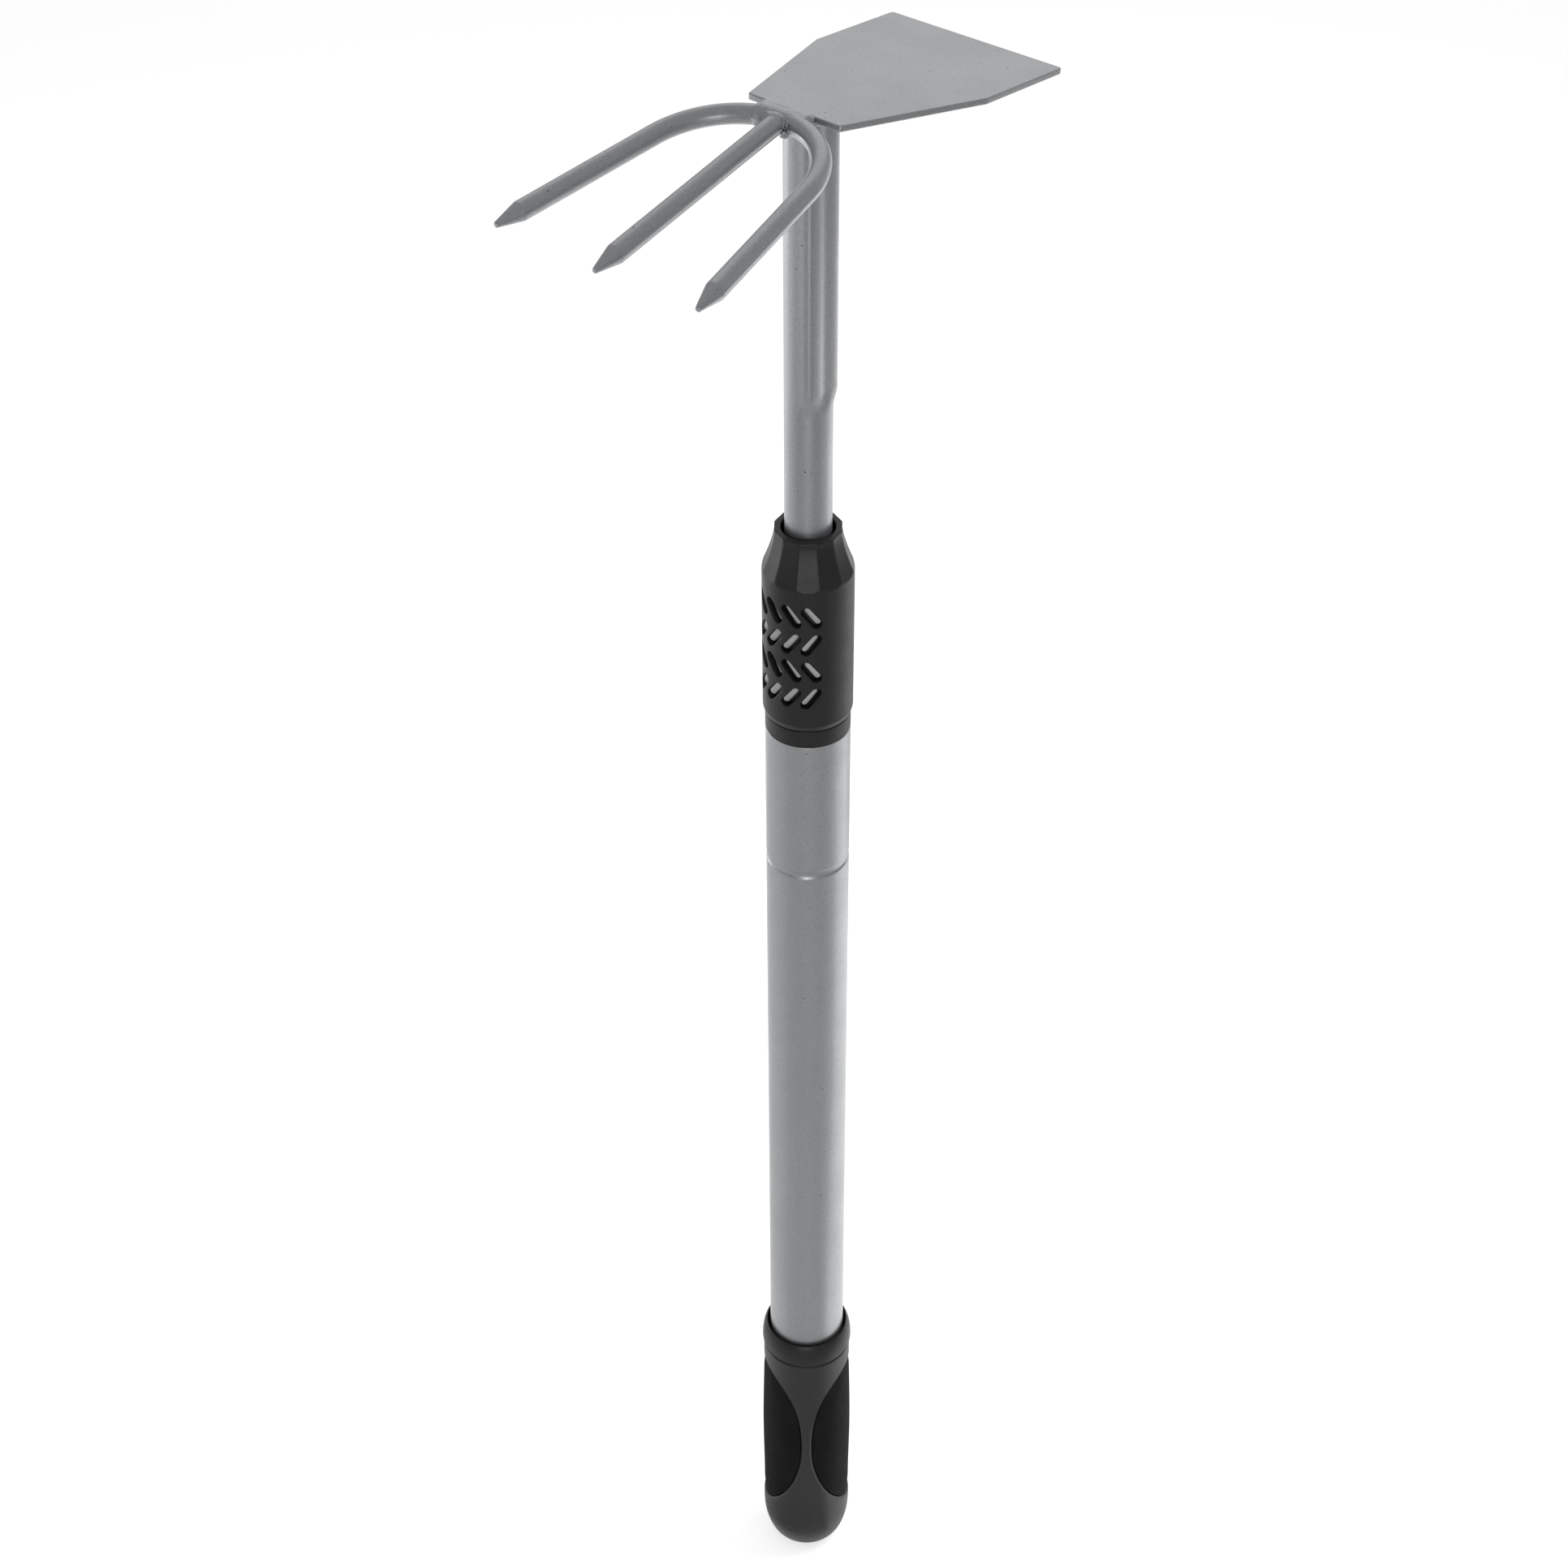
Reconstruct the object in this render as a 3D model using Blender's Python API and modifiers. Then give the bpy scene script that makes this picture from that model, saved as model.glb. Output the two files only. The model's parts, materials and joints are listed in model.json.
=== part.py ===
"""Telescopic hoe and rake combination tool, as separate pieces at their real size.

Units are metres and radians. +Z runs up the handle, +X towards the hoe blade, -X towards the
rake tines. The origin is the centre of the grip's flat end.
"""

import math

import bmesh
import bpy
from mathutils import Matrix, Vector

# Clearances between pieces
GAP = 0.0003
SEAL_GAP = 0.0011

# Tubes
LOWER_TUBE_DIAMETER = 0.028
LOWER_TUBE_WALL = 0.001
LOWER_TUBE_LENGTH = 0.4008
UPPER_TUBE_DIAMETER = 0.015
UPPER_TUBE_WALL = 0.001
EXPOSED_TUBE_LENGTH = 0.141
TRAVEL = 0.300

# Pressed groove of the upper tube, with a raised shoulder on each side
GROOVE_DROP = 0.0125
GROOVE_LENGTH = 0.0855
GROOVE_RUNOUT = 0.0075
GROOVE_DEPTH = 0.0008
GROOVE_WIDTH = 0.0071
GROOVE_AZIMUTH = math.radians(-95)
SHOULDER_RISE = 0.0012
SHOULDER_TURN = math.radians(43.7)
SHOULDER_SPREAD = math.radians(17.3)

# Rolled groove that holds the lock body in the lower tube
ROLL_DROP = 0.0538
ROLL_WIDTH = 0.0015
ROLL_DEPTH = 0.0004

# Hoe blade
BLADE_THICKNESS = 0.002
BLADE_EDGE_ROUND = 0.0003
BLADE_LENGTH = 0.0845
BLADE_SHOULDER = 0.0482
BLADE_WIDTH = 0.0634
BLADE_BACK_WIDTH = 0.0336
BLADE_OVERHANG = 0.0068
BLADE_TILT = math.radians(5.1)

# Rake tines
ROD_DIAMETER = 0.006
TINE_REACH = 0.0889
BACK_STRAIGHT = 0.0004
BEND_RADIUS = 0.028
SPLAY = math.radians(9.2)
ROD_DROP = 0.0021
OUTER_TINE_FALL = math.radians(9.7)
CENTRE_TINE_RISE = 0.0013
CENTRE_TINE_FALL = math.radians(11.6)
TIP_LENGTH = 0.0085
TIP_DIAMETER = 0.0016
BEAD_RADIUS = 0.001
BEAD_END_RADIUS = 0.0005
ROD_WELD_LENGTH = 0.022
TINE_WELD_START = math.radians(-20)
TINE_WELD_END = math.radians(200)
TUBE_WELD_SPAN = math.radians(250)

# Grip
GRIP_RADIUS = 0.01726
GRIP_END_RADIUS = 0.0108
GRIP_END_HEIGHT = 0.018
GRIP_END_THICKNESS = 0.0087
GRIP_LENGTH = 0.115
GRIP_RING_HEIGHT = 0.0099
GRIP_BASE_WALL = 0.001
GRIP_FLOOR = 0.0027
GRIP_NECK_DIP = 0.00066
GRIP_NECK_DROP = 0.0045
GRIP_PINCH_DIP = 0.00031
GRIP_PINCH_RISE = 0.013
GRIP_BULGE_DIP = 0.0001
WINDOW_TOP_MARGIN = 0.0095
WINDOW_END_MARGIN = 0.004
WINDOW_HALF_ANGLE = math.radians(83)
WINDOW_END_TURN = math.radians(82)
PANEL_RECESS = 0.0004
PANEL_AZIMUTH = math.radians(-50)

# Twist lock
COLLAR_RADIUS = 0.0147
COLLAR_WALL = 0.0019
COLLAR_LENGTH = 0.0695
COLLAR_SHOULDER_DROP = 0.0155
COLLAR_NECK_RADIUS = 0.0106
COLLAR_FLARE_DROP = 0.0015
COLLAR_FLARE_POWER = 1.4
COLLAR_TAPER = 0.0006
COLLAR_TAPER_HEIGHT = 0.002
COLLAR_MOUTH_LENGTH = 0.007
COLLAR_FACETS = 12
COLLAR_AZIMUTH = math.radians(-140.2)
LOCK_FLANGE_HEIGHT = 0.0061
LOCK_NECK_RADIUS = 0.0111
LOCK_NECK_HEIGHT = 0.0328
FUNNEL_DEPTH = 0.012
FUNNEL_WALL = 0.0012
COLLET_TAPER = 0.0011
COLLET_HEAD_HEIGHT = 0.0057
COLLET_SLIT = 0.0012
COLLET_SLITS = 4
NUT_FLANGE_HEIGHT = 0.004

# Cut-outs in the collar
SLOT_ROWS = 4
SLOTS_PER_ROW = 4
SLOT_ROW_PITCH = 0.0104
SLOT_LOW_ROW = 0.0132
SLOT_LENGTH = 0.0092
SLOT_WIDTH = 0.0034
SLOT_REACH = 0.003
SLOT_SLANT = math.radians(38)
SLOT_STEP = math.radians(26)
SLOT_GROUP_AZIMUTH = math.radians(-175)

# Lower end of the upper tube
PLUG_FLANGE_RADIUS = 0.0105
PLUG_FLANGE_HEIGHT = 0.0018
PLUG_STEM_HEIGHT = 0.012
BUSH_LENGTH = 0.022
STOP_RING_HEIGHT = 0.002
STOP_RING_WALL = 0.0022

# Sides of round pieces
TUBE_SIDES = 40
FINE_SIDES = 48
ROD_RESOLUTION = 4
SMOOTH_ANGLE = math.radians(25)

# Radii that follow from the sizes above
LOWER_TUBE_RADIUS = LOWER_TUBE_DIAMETER / 2
LOWER_TUBE_BORE = LOWER_TUBE_RADIUS - LOWER_TUBE_WALL
UPPER_TUBE_RADIUS = UPPER_TUBE_DIAMETER / 2
UPPER_TUBE_BORE = UPPER_TUBE_RADIUS - UPPER_TUBE_WALL
TUBE_GUIDE = UPPER_TUBE_RADIUS + GAP
TUBE_SLIDER = LOWER_TUBE_BORE - GAP
ROD_RADIUS = ROD_DIAMETER / 2
COLLAR_BORE = COLLAR_RADIUS - COLLAR_WALL
COLLAR_MOUTH = UPPER_TUBE_RADIUS + SEAL_GAP
NUT_RADIUS = COLLAR_BORE - GAP
NUT_BORE = LOCK_NECK_RADIUS + GAP
GRIP_BASE_BORE = LOWER_TUBE_RADIUS + GAP
GRIP_BASE_RADIUS = GRIP_BASE_BORE + GRIP_BASE_WALL
GRIP_BORE = GRIP_BASE_RADIUS + GAP

# Heights that follow from the sizes above
WINDOW_BOTTOM = GRIP_END_HEIGHT + WINDOW_END_MARGIN
WINDOW_TOP = GRIP_LENGTH - WINDOW_TOP_MARGIN
WINDOW_CENTRE = (WINDOW_BOTTOM + WINDOW_TOP) / 2
WINDOW_HALF_HEIGHT = (WINDOW_TOP - WINDOW_BOTTOM) / 2
GRIP_BASE_BOTTOM = GRIP_END_THICKNESS + GAP
GRIP_BASE_FLOOR = GRIP_BASE_BOTTOM + GRIP_FLOOR
LOWER_TUBE_BOTTOM = GRIP_BASE_FLOOR + GAP
LOWER_TUBE_TOP = LOWER_TUBE_BOTTOM + LOWER_TUBE_LENGTH
ROLL_HEIGHT = LOWER_TUBE_TOP - ROLL_DROP
LOCK_FLANGE_TOP = LOWER_TUBE_TOP + GAP + LOCK_FLANGE_HEIGHT
COLLAR_BOTTOM = LOCK_FLANGE_TOP + GAP
COLLAR_TOP = COLLAR_BOTTOM + COLLAR_LENGTH
LOCK_TOP = LOCK_FLANGE_TOP + LOCK_NECK_HEIGHT
COLLET_TOP = LOCK_TOP + GAP + COLLET_HEAD_HEIGHT
COLLAR_SHOULDER = COLLAR_TOP - COLLAR_SHOULDER_DROP
PLUG_BOTTOM = GRIP_BASE_FLOOR + GAP
PLUG_FLANGE_TOP = PLUG_BOTTOM + PLUG_FLANGE_HEIGHT
UPPER_TUBE_BOTTOM = PLUG_FLANGE_TOP + GAP
BUSH_TOP = UPPER_TUBE_BOTTOM + BUSH_LENGTH
STOP_RING_TOP = BUSH_TOP + GAP + STOP_RING_HEIGHT
LOCK_BOTTOM = STOP_RING_TOP + TRAVEL + GAP
BLADE_TOP = COLLAR_TOP + EXPOSED_TUBE_LENGTH
GROOVE_TOP = BLADE_TOP - GROOVE_DROP
GROOVE_BOTTOM = GROOVE_TOP - GROOVE_LENGTH
ROD_HEIGHT = BLADE_TOP - ROD_DROP
ROD_BACK = -(UPPER_TUBE_RADIUS + GAP + ROD_RADIUS)

# Colours, roughness and metallic value of each finish
SILVER_PAINT = ((0.36, 0.37, 0.38), 0.38, 0.85)
BLACK_PLASTIC = ((0.03, 0.03, 0.032), 0.45, 0.0)
SOFT_BLACK = ((0.014, 0.014, 0.015), 0.75, 0.0)
LIGHT_PLASTIC = ((0.42, 0.42, 0.43), 0.5, 0.0)
NATURAL_PLASTIC = ((0.72, 0.71, 0.68), 0.45, 0.0)
BARE_STEEL = ((0.5, 0.5, 0.5), 0.35, 1.0)


def start_collections():
    """Clear the scene and return the collections for the parts and for the cutters."""
    for item in list(bpy.data.objects):
        bpy.data.objects.remove(item)
    parts = bpy.data.collections.new("hoe_and_rake_tool")
    cutters = bpy.data.collections.new("cutters")
    for group in (parts, cutters):
        bpy.context.scene.collection.children.link(group)
    return parts, cutters


PARTS, CUTTERS = start_collections()


def add_finish(piece, finish):
    """Give a piece a material of its own."""
    colour, roughness, metallic = finish
    material = bpy.data.materials.new(piece.name)
    material.use_nodes = True
    shader = material.node_tree.nodes["Principled BSDF"]
    shader.inputs["Base Color"].default_value = (*colour, 1.0)
    shader.inputs["Roughness"].default_value = roughness
    shader.inputs["Metallic"].default_value = metallic
    material.diffuse_color = (*colour, 1.0)
    piece.data.materials.clear()
    piece.data.materials.append(material)


def add_piece(name, data, finish):
    """Link a new object for one sub-part."""
    piece = bpy.data.objects.new(name, data)
    PARTS.objects.link(piece)
    add_finish(piece, finish)
    return piece


def turned(name, outline, finish, sides=TUBE_SIDES):
    """Turned piece: the outline is (radius, height), and it runs down the outer side."""
    mesh = bpy.data.meshes.new(name)
    points = [(radius, 0.0, height) for radius, height in outline]
    edges = [(i, i + 1) for i in range(len(points) - 1)]
    is_ring = min(radius for radius, height in outline) > 0
    if is_ring:
        edges.append((len(points) - 1, 0))
    mesh.from_pydata(points, edges, [])
    piece = add_piece(name, mesh, finish)
    screw = piece.modifiers.new("turn", "SCREW")
    screw.steps = sides
    screw.render_steps = sides
    screw.use_merge_vertices = True
    screw.merge_threshold = 0.00001
    return bake(piece)


def baked_mesh(piece):
    """Evaluated mesh of a curve or of a piece with modifiers, with its loose caps welded."""
    graph = bpy.context.evaluated_depsgraph_get()
    graph.update()
    mesh = bpy.data.meshes.new_from_object(piece.evaluated_get(graph))
    shape = bmesh.new()
    shape.from_mesh(mesh)
    bmesh.ops.remove_doubles(shape, verts=shape.verts, dist=0.000001)
    shape.to_mesh(mesh)
    shape.free()
    return mesh


def bake(piece):
    """Replace a piece by a plain mesh object with the same name and finish."""
    name = piece.name
    mesh = baked_mesh(piece)
    place = piece.matrix_world.copy()
    bpy.data.objects.remove(piece)
    solid = bpy.data.objects.new(name, mesh)
    solid.matrix_world = place
    PARTS.objects.link(solid)
    smooth(mesh)
    return solid


def smooth(mesh):
    """Shade a mesh smooth between faces that meet at a small angle."""
    mesh.shade_smooth()
    mesh.set_sharp_from_angle(angle=SMOOTH_ANGLE)


def cut(piece, cutter):
    """Subtract a cutter from a piece."""
    cutter.hide_render = True
    cutter.display_type = "WIRE"
    modifier = piece.modifiers.new(cutter.name, "BOOLEAN")
    modifier.operation = "DIFFERENCE"
    modifier.object = cutter


def turn_about_z(angle):
    """Rotation about the handle's axis."""
    return Matrix.Rotation(angle, 4, "Z")


def quarter_ellipse(centre_radius, centre_height, width, height, start, end, steps):
    """Points (radius, height) along an ellipse between two angles."""
    angles = [start + (end - start) * i / steps for i in range(steps + 1)]
    return [(centre_radius + width * math.cos(a), centre_height + height * math.sin(a)) for a in angles]


def rod(name, points, radii, finish):
    """Round rod along points, with a bevel scaled by the radii."""
    curve = bpy.data.curves.new(name, "CURVE")
    curve.dimensions = "3D"
    curve.bevel_depth = ROD_RADIUS
    curve.bevel_resolution = ROD_RESOLUTION
    curve.use_fill_caps = True
    spline = curve.splines.new("POLY")
    spline.points.add(len(points) - 1)
    for target, point, radius in zip(spline.points, points, radii):
        target.co = (*point, 1.0)
        target.radius = radius / ROD_RADIUS
    return add_piece(name, curve, finish)


def hoe_blade():
    """Six-cornered plate with rounded edges, tilted down towards its cutting edge."""
    half_back = BLADE_BACK_WIDTH / 2
    half_width = BLADE_WIDTH / 2
    right_side = [(0.0, -half_back), (BLADE_SHOULDER, -half_width), (BLADE_LENGTH, -half_width)]
    left_side = [(x, -y) for x, y in reversed(right_side)]
    curve = bpy.data.curves.new("hoe_blade", "CURVE")
    curve.dimensions = "2D"
    curve.fill_mode = "BOTH"
    curve.extrude = BLADE_THICKNESS / 2 - BLADE_EDGE_ROUND
    curve.bevel_depth = BLADE_EDGE_ROUND
    curve.bevel_resolution = 1
    curve.offset = -BLADE_EDGE_ROUND
    spline = curve.splines.new("POLY")
    outline = right_side + left_side
    spline.points.add(len(outline) - 1)
    for target, (x, y) in zip(spline.points, outline):
        target.co = (x, y, 0.0, 1.0)
    spline.use_cyclic_u = True
    plate = add_piece("hoe_blade", curve, SILVER_PAINT)
    plate.location = blade_point(0.0, -BLADE_THICKNESS / 2)
    plate.rotation_euler = (0.0, BLADE_TILT, 0.0)
    return plate


def blade_point(along, above):
    """Point of the symmetry plane at a distance along the blade's top face and above it."""
    x = -BLADE_OVERHANG + along * math.cos(BLADE_TILT) + above * math.sin(BLADE_TILT)
    z = BLADE_TOP - along * math.sin(BLADE_TILT) + above * math.cos(BLADE_TILT)
    return Vector((x, 0.0, z))


def blade_underside(x):
    """Height of the blade's lower face at a distance from the handle's axis."""
    slope = math.tan(BLADE_TILT)
    return BLADE_TOP - BLADE_THICKNESS / math.cos(BLADE_TILT) - (x + BLADE_OVERHANG) * slope


def outer_tine_path():
    """Points and radii of the U-shaped rod, seen from above, from one tip to the other."""
    centre_x = ROD_BACK - BEND_RADIUS
    centre_y = BACK_STRAIGHT / 2
    sweep = math.pi / 2 - SPLAY
    steps = 7
    arc = []
    for i in range(steps + 1):
        angle = sweep * i / steps
        arc.append((centre_x + BEND_RADIUS * math.cos(angle), centre_y + BEND_RADIUS * math.sin(angle)))
    leg_start_x, leg_start_y = arc[-1]
    tip = (-TINE_REACH, leg_start_y + (leg_start_x + TINE_REACH) * math.tan(SPLAY))
    cone = (tip[0] + TIP_LENGTH * math.cos(SPLAY), tip[1] - TIP_LENGTH * math.sin(SPLAY))
    side = arc + [cone, tip]
    radii = [ROD_RADIUS] * (len(side) - 1) + [TIP_DIAMETER / 2]
    other_side = [(x, -y) for x, y in reversed(side)]
    return other_side + side, radii[::-1] + radii


def outer_tines():
    """The two outer tines: one bent rod, in a plane that falls towards the tips."""
    flat_path, radii = outer_tine_path()
    slope = math.tan(OUTER_TINE_FALL)
    points = [(x, y, ROD_HEIGHT + (x - ROD_BACK) * slope) for x, y in flat_path]
    return rod("outer_tines", points, radii, SILVER_PAINT)


def centre_tine_point(x):
    """Point on the centre tine's axis."""
    height = ROD_HEIGHT + CENTRE_TINE_RISE + (x - ROD_BACK) * math.tan(CENTRE_TINE_FALL)
    return Vector((x, 0.0, height))


def centre_tine_before(seam_room):
    """Point on the centre tine's axis whose cross plane lies a distance from the U-shaped rod."""
    setback = ROD_RADIUS + seam_room + CENTRE_TINE_RISE * math.sin(CENTRE_TINE_FALL)
    return centre_tine_point(ROD_BACK - setback * math.cos(CENTRE_TINE_FALL))


def centre_tine():
    """Straight middle tine, butted against the U-shaped rod."""
    end = centre_tine_before(GAP)
    tip = centre_tine_point(-TINE_REACH)
    cone = tip + (end - tip).normalized() * TIP_LENGTH
    radii = [ROD_RADIUS, ROD_RADIUS, TIP_DIAMETER / 2]
    return rod("centre_tine", [end, cone, tip], radii, SILVER_PAINT)


def bead_arc(name, centre, across, up, radius, start, end, steps):
    """Weld bead along an arc in the plane of two directions, thinner at its ends."""
    points = []
    radii = []
    for i in range(steps + 1):
        angle = start + (end - start) * i / steps
        points.append(centre + radius * (math.cos(angle) * across + math.sin(angle) * up))
        radii.append(BEAD_END_RADIUS if i in (0, steps) else BEAD_RADIUS)
    return rod(name, points, radii, SILVER_PAINT)


def height_to_clear(x, centre_x, centre_height, reach):
    """Height at x that keeps a distance to an edge or an axis that runs along Y."""
    return centre_height + math.sqrt(max(reach ** 2 - (x - centre_x) ** 2, 0.0))


def rod_weld():
    """Bead in the valley between the U-shaped rod and the blade's back edge."""
    reach = BEAD_RADIUS + GAP
    x = -(BLADE_OVERHANG + BEAD_RADIUS - GAP)
    over_rod = height_to_clear(x, ROD_BACK, ROD_HEIGHT, ROD_RADIUS + reach)
    over_blade = height_to_clear(x, -BLADE_OVERHANG, BLADE_TOP, reach)
    half = ROD_WELD_LENGTH / 2
    places = (-half, BEAD_RADIUS - half, half - BEAD_RADIUS, half)
    points = [(x, y, max(over_rod, over_blade)) for y in places]
    radii = [BEAD_END_RADIUS, BEAD_RADIUS, BEAD_RADIUS, BEAD_END_RADIUS]
    return rod("rod_weld", points, radii, SILVER_PAINT)


def tine_weld():
    """Bead over the end of the centre tine, where it meets the U-shaped rod."""
    across = Vector((0.0, 1.0, 0.0))
    up = Vector((-math.sin(CENTRE_TINE_FALL), 0.0, math.cos(CENTRE_TINE_FALL)))
    ring_radius = ROD_RADIUS + GAP + BEAD_RADIUS
    centre = centre_tine_before(GAP + BEAD_RADIUS)
    return bead_arc("tine_weld", centre, across, up, ring_radius, TINE_WELD_START, TINE_WELD_END, 10)


def tube_weld():
    """Bead round the top of the upper tube, under the blade and clear of the U-shaped rod."""
    ring_radius = UPPER_TUBE_RADIUS + GAP + BEAD_RADIUS
    centre = Vector((0.0, 0.0, blade_underside(0.0) - (BEAD_RADIUS + GAP) / math.cos(BLADE_TILT)))
    across = Vector((math.cos(BLADE_TILT), 0.0, -math.sin(BLADE_TILT)))
    up = Vector((0.0, 1.0, 0.0))
    half = TUBE_WELD_SPAN / 2
    return bead_arc("tube_weld", centre, across, up, ring_radius, -half, half, 18)


def groove_share(height):
    """How far the pressed groove is developed at a height, from 0 to 1."""
    inside = min(height - GROOVE_BOTTOM, GROOVE_TOP - height)
    share = min(max(inside / GROOVE_RUNOUT, 0.0), 1.0)
    return share * share * (3 - 2 * share)


def groove_rise(angle):
    """How far the developed groove moves the tube's wall outwards at an angle round the axis."""
    turn = abs((angle - GROOVE_AZIMUTH + math.pi) % (2 * math.pi) - math.pi)
    shoulder = SHOULDER_RISE * math.exp(-((turn - SHOULDER_TURN) / SHOULDER_SPREAD) ** 2)
    aside = UPPER_TUBE_RADIUS * math.sin(min(turn, math.pi / 2)) / (GROOVE_WIDTH / 2)
    valley = (1 + math.cos(math.pi * min(aside, 1.0))) / 2
    return shoulder - GROOVE_DEPTH * valley


def press_groove(mesh):
    """Press the groove into the upper tube's wall and raise its shoulders."""
    for vertex in mesh.vertices:
        radius = math.hypot(vertex.co.x, vertex.co.y)
        rise = groove_rise(math.atan2(vertex.co.y, vertex.co.x)) * groove_share(vertex.co.z)
        vertex.co.x *= 1 + rise / radius
        vertex.co.y *= 1 + rise / radius


def upper_tube():
    """Thin inner tube, pressed in along a groove below the blade and cut to the blade's slope."""
    steps = [GROOVE_RUNOUT * i / 4 for i in range(5)]
    upper_end = [GROOVE_TOP - step for step in steps]
    lower_end = [GROOVE_BOTTOM + step for step in reversed(steps)]
    top = blade_underside(0.0) - GAP
    heights = [top] + upper_end + lower_end + [UPPER_TUBE_BOTTOM]
    outer = [(UPPER_TUBE_RADIUS, z) for z in heights]
    inner = [(UPPER_TUBE_BORE, z) for z in reversed(heights)]
    tube = turned("upper_tube", outer + inner, SILVER_PAINT, FINE_SIDES)
    for vertex in tube.data.vertices:
        if vertex.co.z > top - GAP:
            vertex.co.z = blade_underside(vertex.co.x) - GAP
    press_groove(tube.data)
    return tube


def tube_end_plug():
    """Plug in the lower end of the upper tube, with a flange that carries the bush."""
    stem = UPPER_TUBE_BORE - GAP
    stem_top = PLUG_FLANGE_TOP + PLUG_STEM_HEIGHT
    outline = [
        (0.0, stem_top),
        (stem, stem_top),
        (stem, PLUG_FLANGE_TOP),
        (PLUG_FLANGE_RADIUS, PLUG_FLANGE_TOP),
        (PLUG_FLANGE_RADIUS, PLUG_BOTTOM),
        (0.0, PLUG_BOTTOM),
    ]
    return turned("tube_end_plug", outline, BLACK_PLASTIC)


def sleeve(name, outer, inner, bottom, top, finish, sides=TUBE_SIDES):
    """Plain round sleeve."""
    outline = [(outer, top), (outer, bottom), (inner, bottom), (inner, top)]
    return turned(name, outline, finish, sides)


def guide_bush():
    """Bush on the lower end of the upper tube, which slides in the lower tube."""
    return sleeve("guide_bush", TUBE_SLIDER, TUBE_GUIDE, UPPER_TUBE_BOTTOM, BUSH_TOP, NATURAL_PLASTIC)


def bush_stop_ring():
    """Ring above the bush, which keeps it in place and stops the tube at full length."""
    outer = TUBE_GUIDE + STOP_RING_WALL
    return sleeve("bush_stop_ring", outer, TUBE_GUIDE, BUSH_TOP + GAP, STOP_RING_TOP, BARE_STEEL)


def lower_tube():
    """Outer handle tube with a groove rolled into the lock body."""
    top_edge = ROLL_HEIGHT + ROLL_WIDTH / 2
    low_edge = ROLL_HEIGHT - ROLL_WIDTH / 2
    flank = ROLL_DEPTH
    steps = [
        (0.0, LOWER_TUBE_TOP),
        (0.0, top_edge + flank),
        (ROLL_DEPTH, top_edge),
        (ROLL_DEPTH, low_edge),
        (0.0, low_edge - flank),
        (0.0, LOWER_TUBE_BOTTOM),
    ]
    outer = [(LOWER_TUBE_RADIUS - depth, z) for depth, z in steps]
    inner = [(LOWER_TUBE_BORE - depth, z) for depth, z in reversed(steps)]
    return turned("lower_tube", outer + inner, SILVER_PAINT)


def lock_body():
    """Insert in the lower tube, with a flange on the tube's end and a neck that the nut turns on."""
    groove = TUBE_SLIDER - ROLL_DEPTH
    top_edge = ROLL_HEIGHT + ROLL_WIDTH / 2
    low_edge = ROLL_HEIGHT - ROLL_WIDTH / 2
    flank = ROLL_DEPTH
    funnel_mouth = LOCK_NECK_RADIUS - FUNNEL_WALL
    outline = [
        (LOCK_NECK_RADIUS, LOCK_TOP),
        (LOCK_NECK_RADIUS, LOCK_FLANGE_TOP),
        (LOWER_TUBE_RADIUS, LOCK_FLANGE_TOP),
        (LOWER_TUBE_RADIUS, LOWER_TUBE_TOP + GAP),
        (TUBE_SLIDER, LOWER_TUBE_TOP + GAP),
        (TUBE_SLIDER, top_edge + flank),
        (groove, top_edge),
        (groove, low_edge),
        (TUBE_SLIDER, low_edge - flank),
        (TUBE_SLIDER, LOCK_BOTTOM),
        (TUBE_GUIDE, LOCK_BOTTOM),
        (TUBE_GUIDE, LOCK_TOP - FUNNEL_DEPTH),
        (funnel_mouth - COLLET_TAPER, LOCK_TOP - FUNNEL_DEPTH),
        (funnel_mouth, LOCK_TOP),
    ]
    return turned("lock_body", outline, BLACK_PLASTIC)


def radial_box(name, length, width, bottom, top, angle):
    """Cutter that runs outwards from the axis at an angle."""
    shape = bmesh.new()
    bmesh.ops.create_cube(shape, size=1.0)
    size = Matrix.Diagonal((length, width, top - bottom, 1.0))
    bmesh.ops.transform(shape, matrix=size, verts=shape.verts)
    mesh = bpy.data.meshes.new(name)
    shape.to_mesh(mesh)
    shape.free()
    box = bpy.data.objects.new(name, mesh)
    CUTTERS.objects.link(box)
    place = Matrix.Translation((length / 2, 0.0, (bottom + top) / 2))
    box.matrix_world = turn_about_z(angle) @ place
    return box


def collet():
    """Split taper ring that is pushed into the funnel and grips the upper tube."""
    mouth = LOCK_NECK_RADIUS - FUNNEL_WALL - GAP
    foot = LOCK_TOP - FUNNEL_DEPTH + GAP
    head_bottom = LOCK_TOP + GAP
    outline = [
        (LOCK_NECK_RADIUS - GAP, COLLET_TOP),
        (LOCK_NECK_RADIUS - GAP, head_bottom),
        (mouth, head_bottom),
        (mouth - COLLET_TAPER, foot),
        (TUBE_GUIDE, foot),
        (TUBE_GUIDE, COLLET_TOP),
    ]
    ring = turned("collet", outline, NATURAL_PLASTIC)
    for i in range(COLLET_SLITS):
        top = COLLET_TOP + GAP if i == 0 else head_bottom + GAP
        angle = math.pi / TUBE_SIDES + 2 * math.pi * i / COLLET_SLITS
        reach = LOCK_NECK_RADIUS + GAP
        cut(ring, radial_box(f"collet_slit_{i + 1}", reach, COLLET_SLIT, foot - GAP, top, angle))
    return ring


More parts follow.
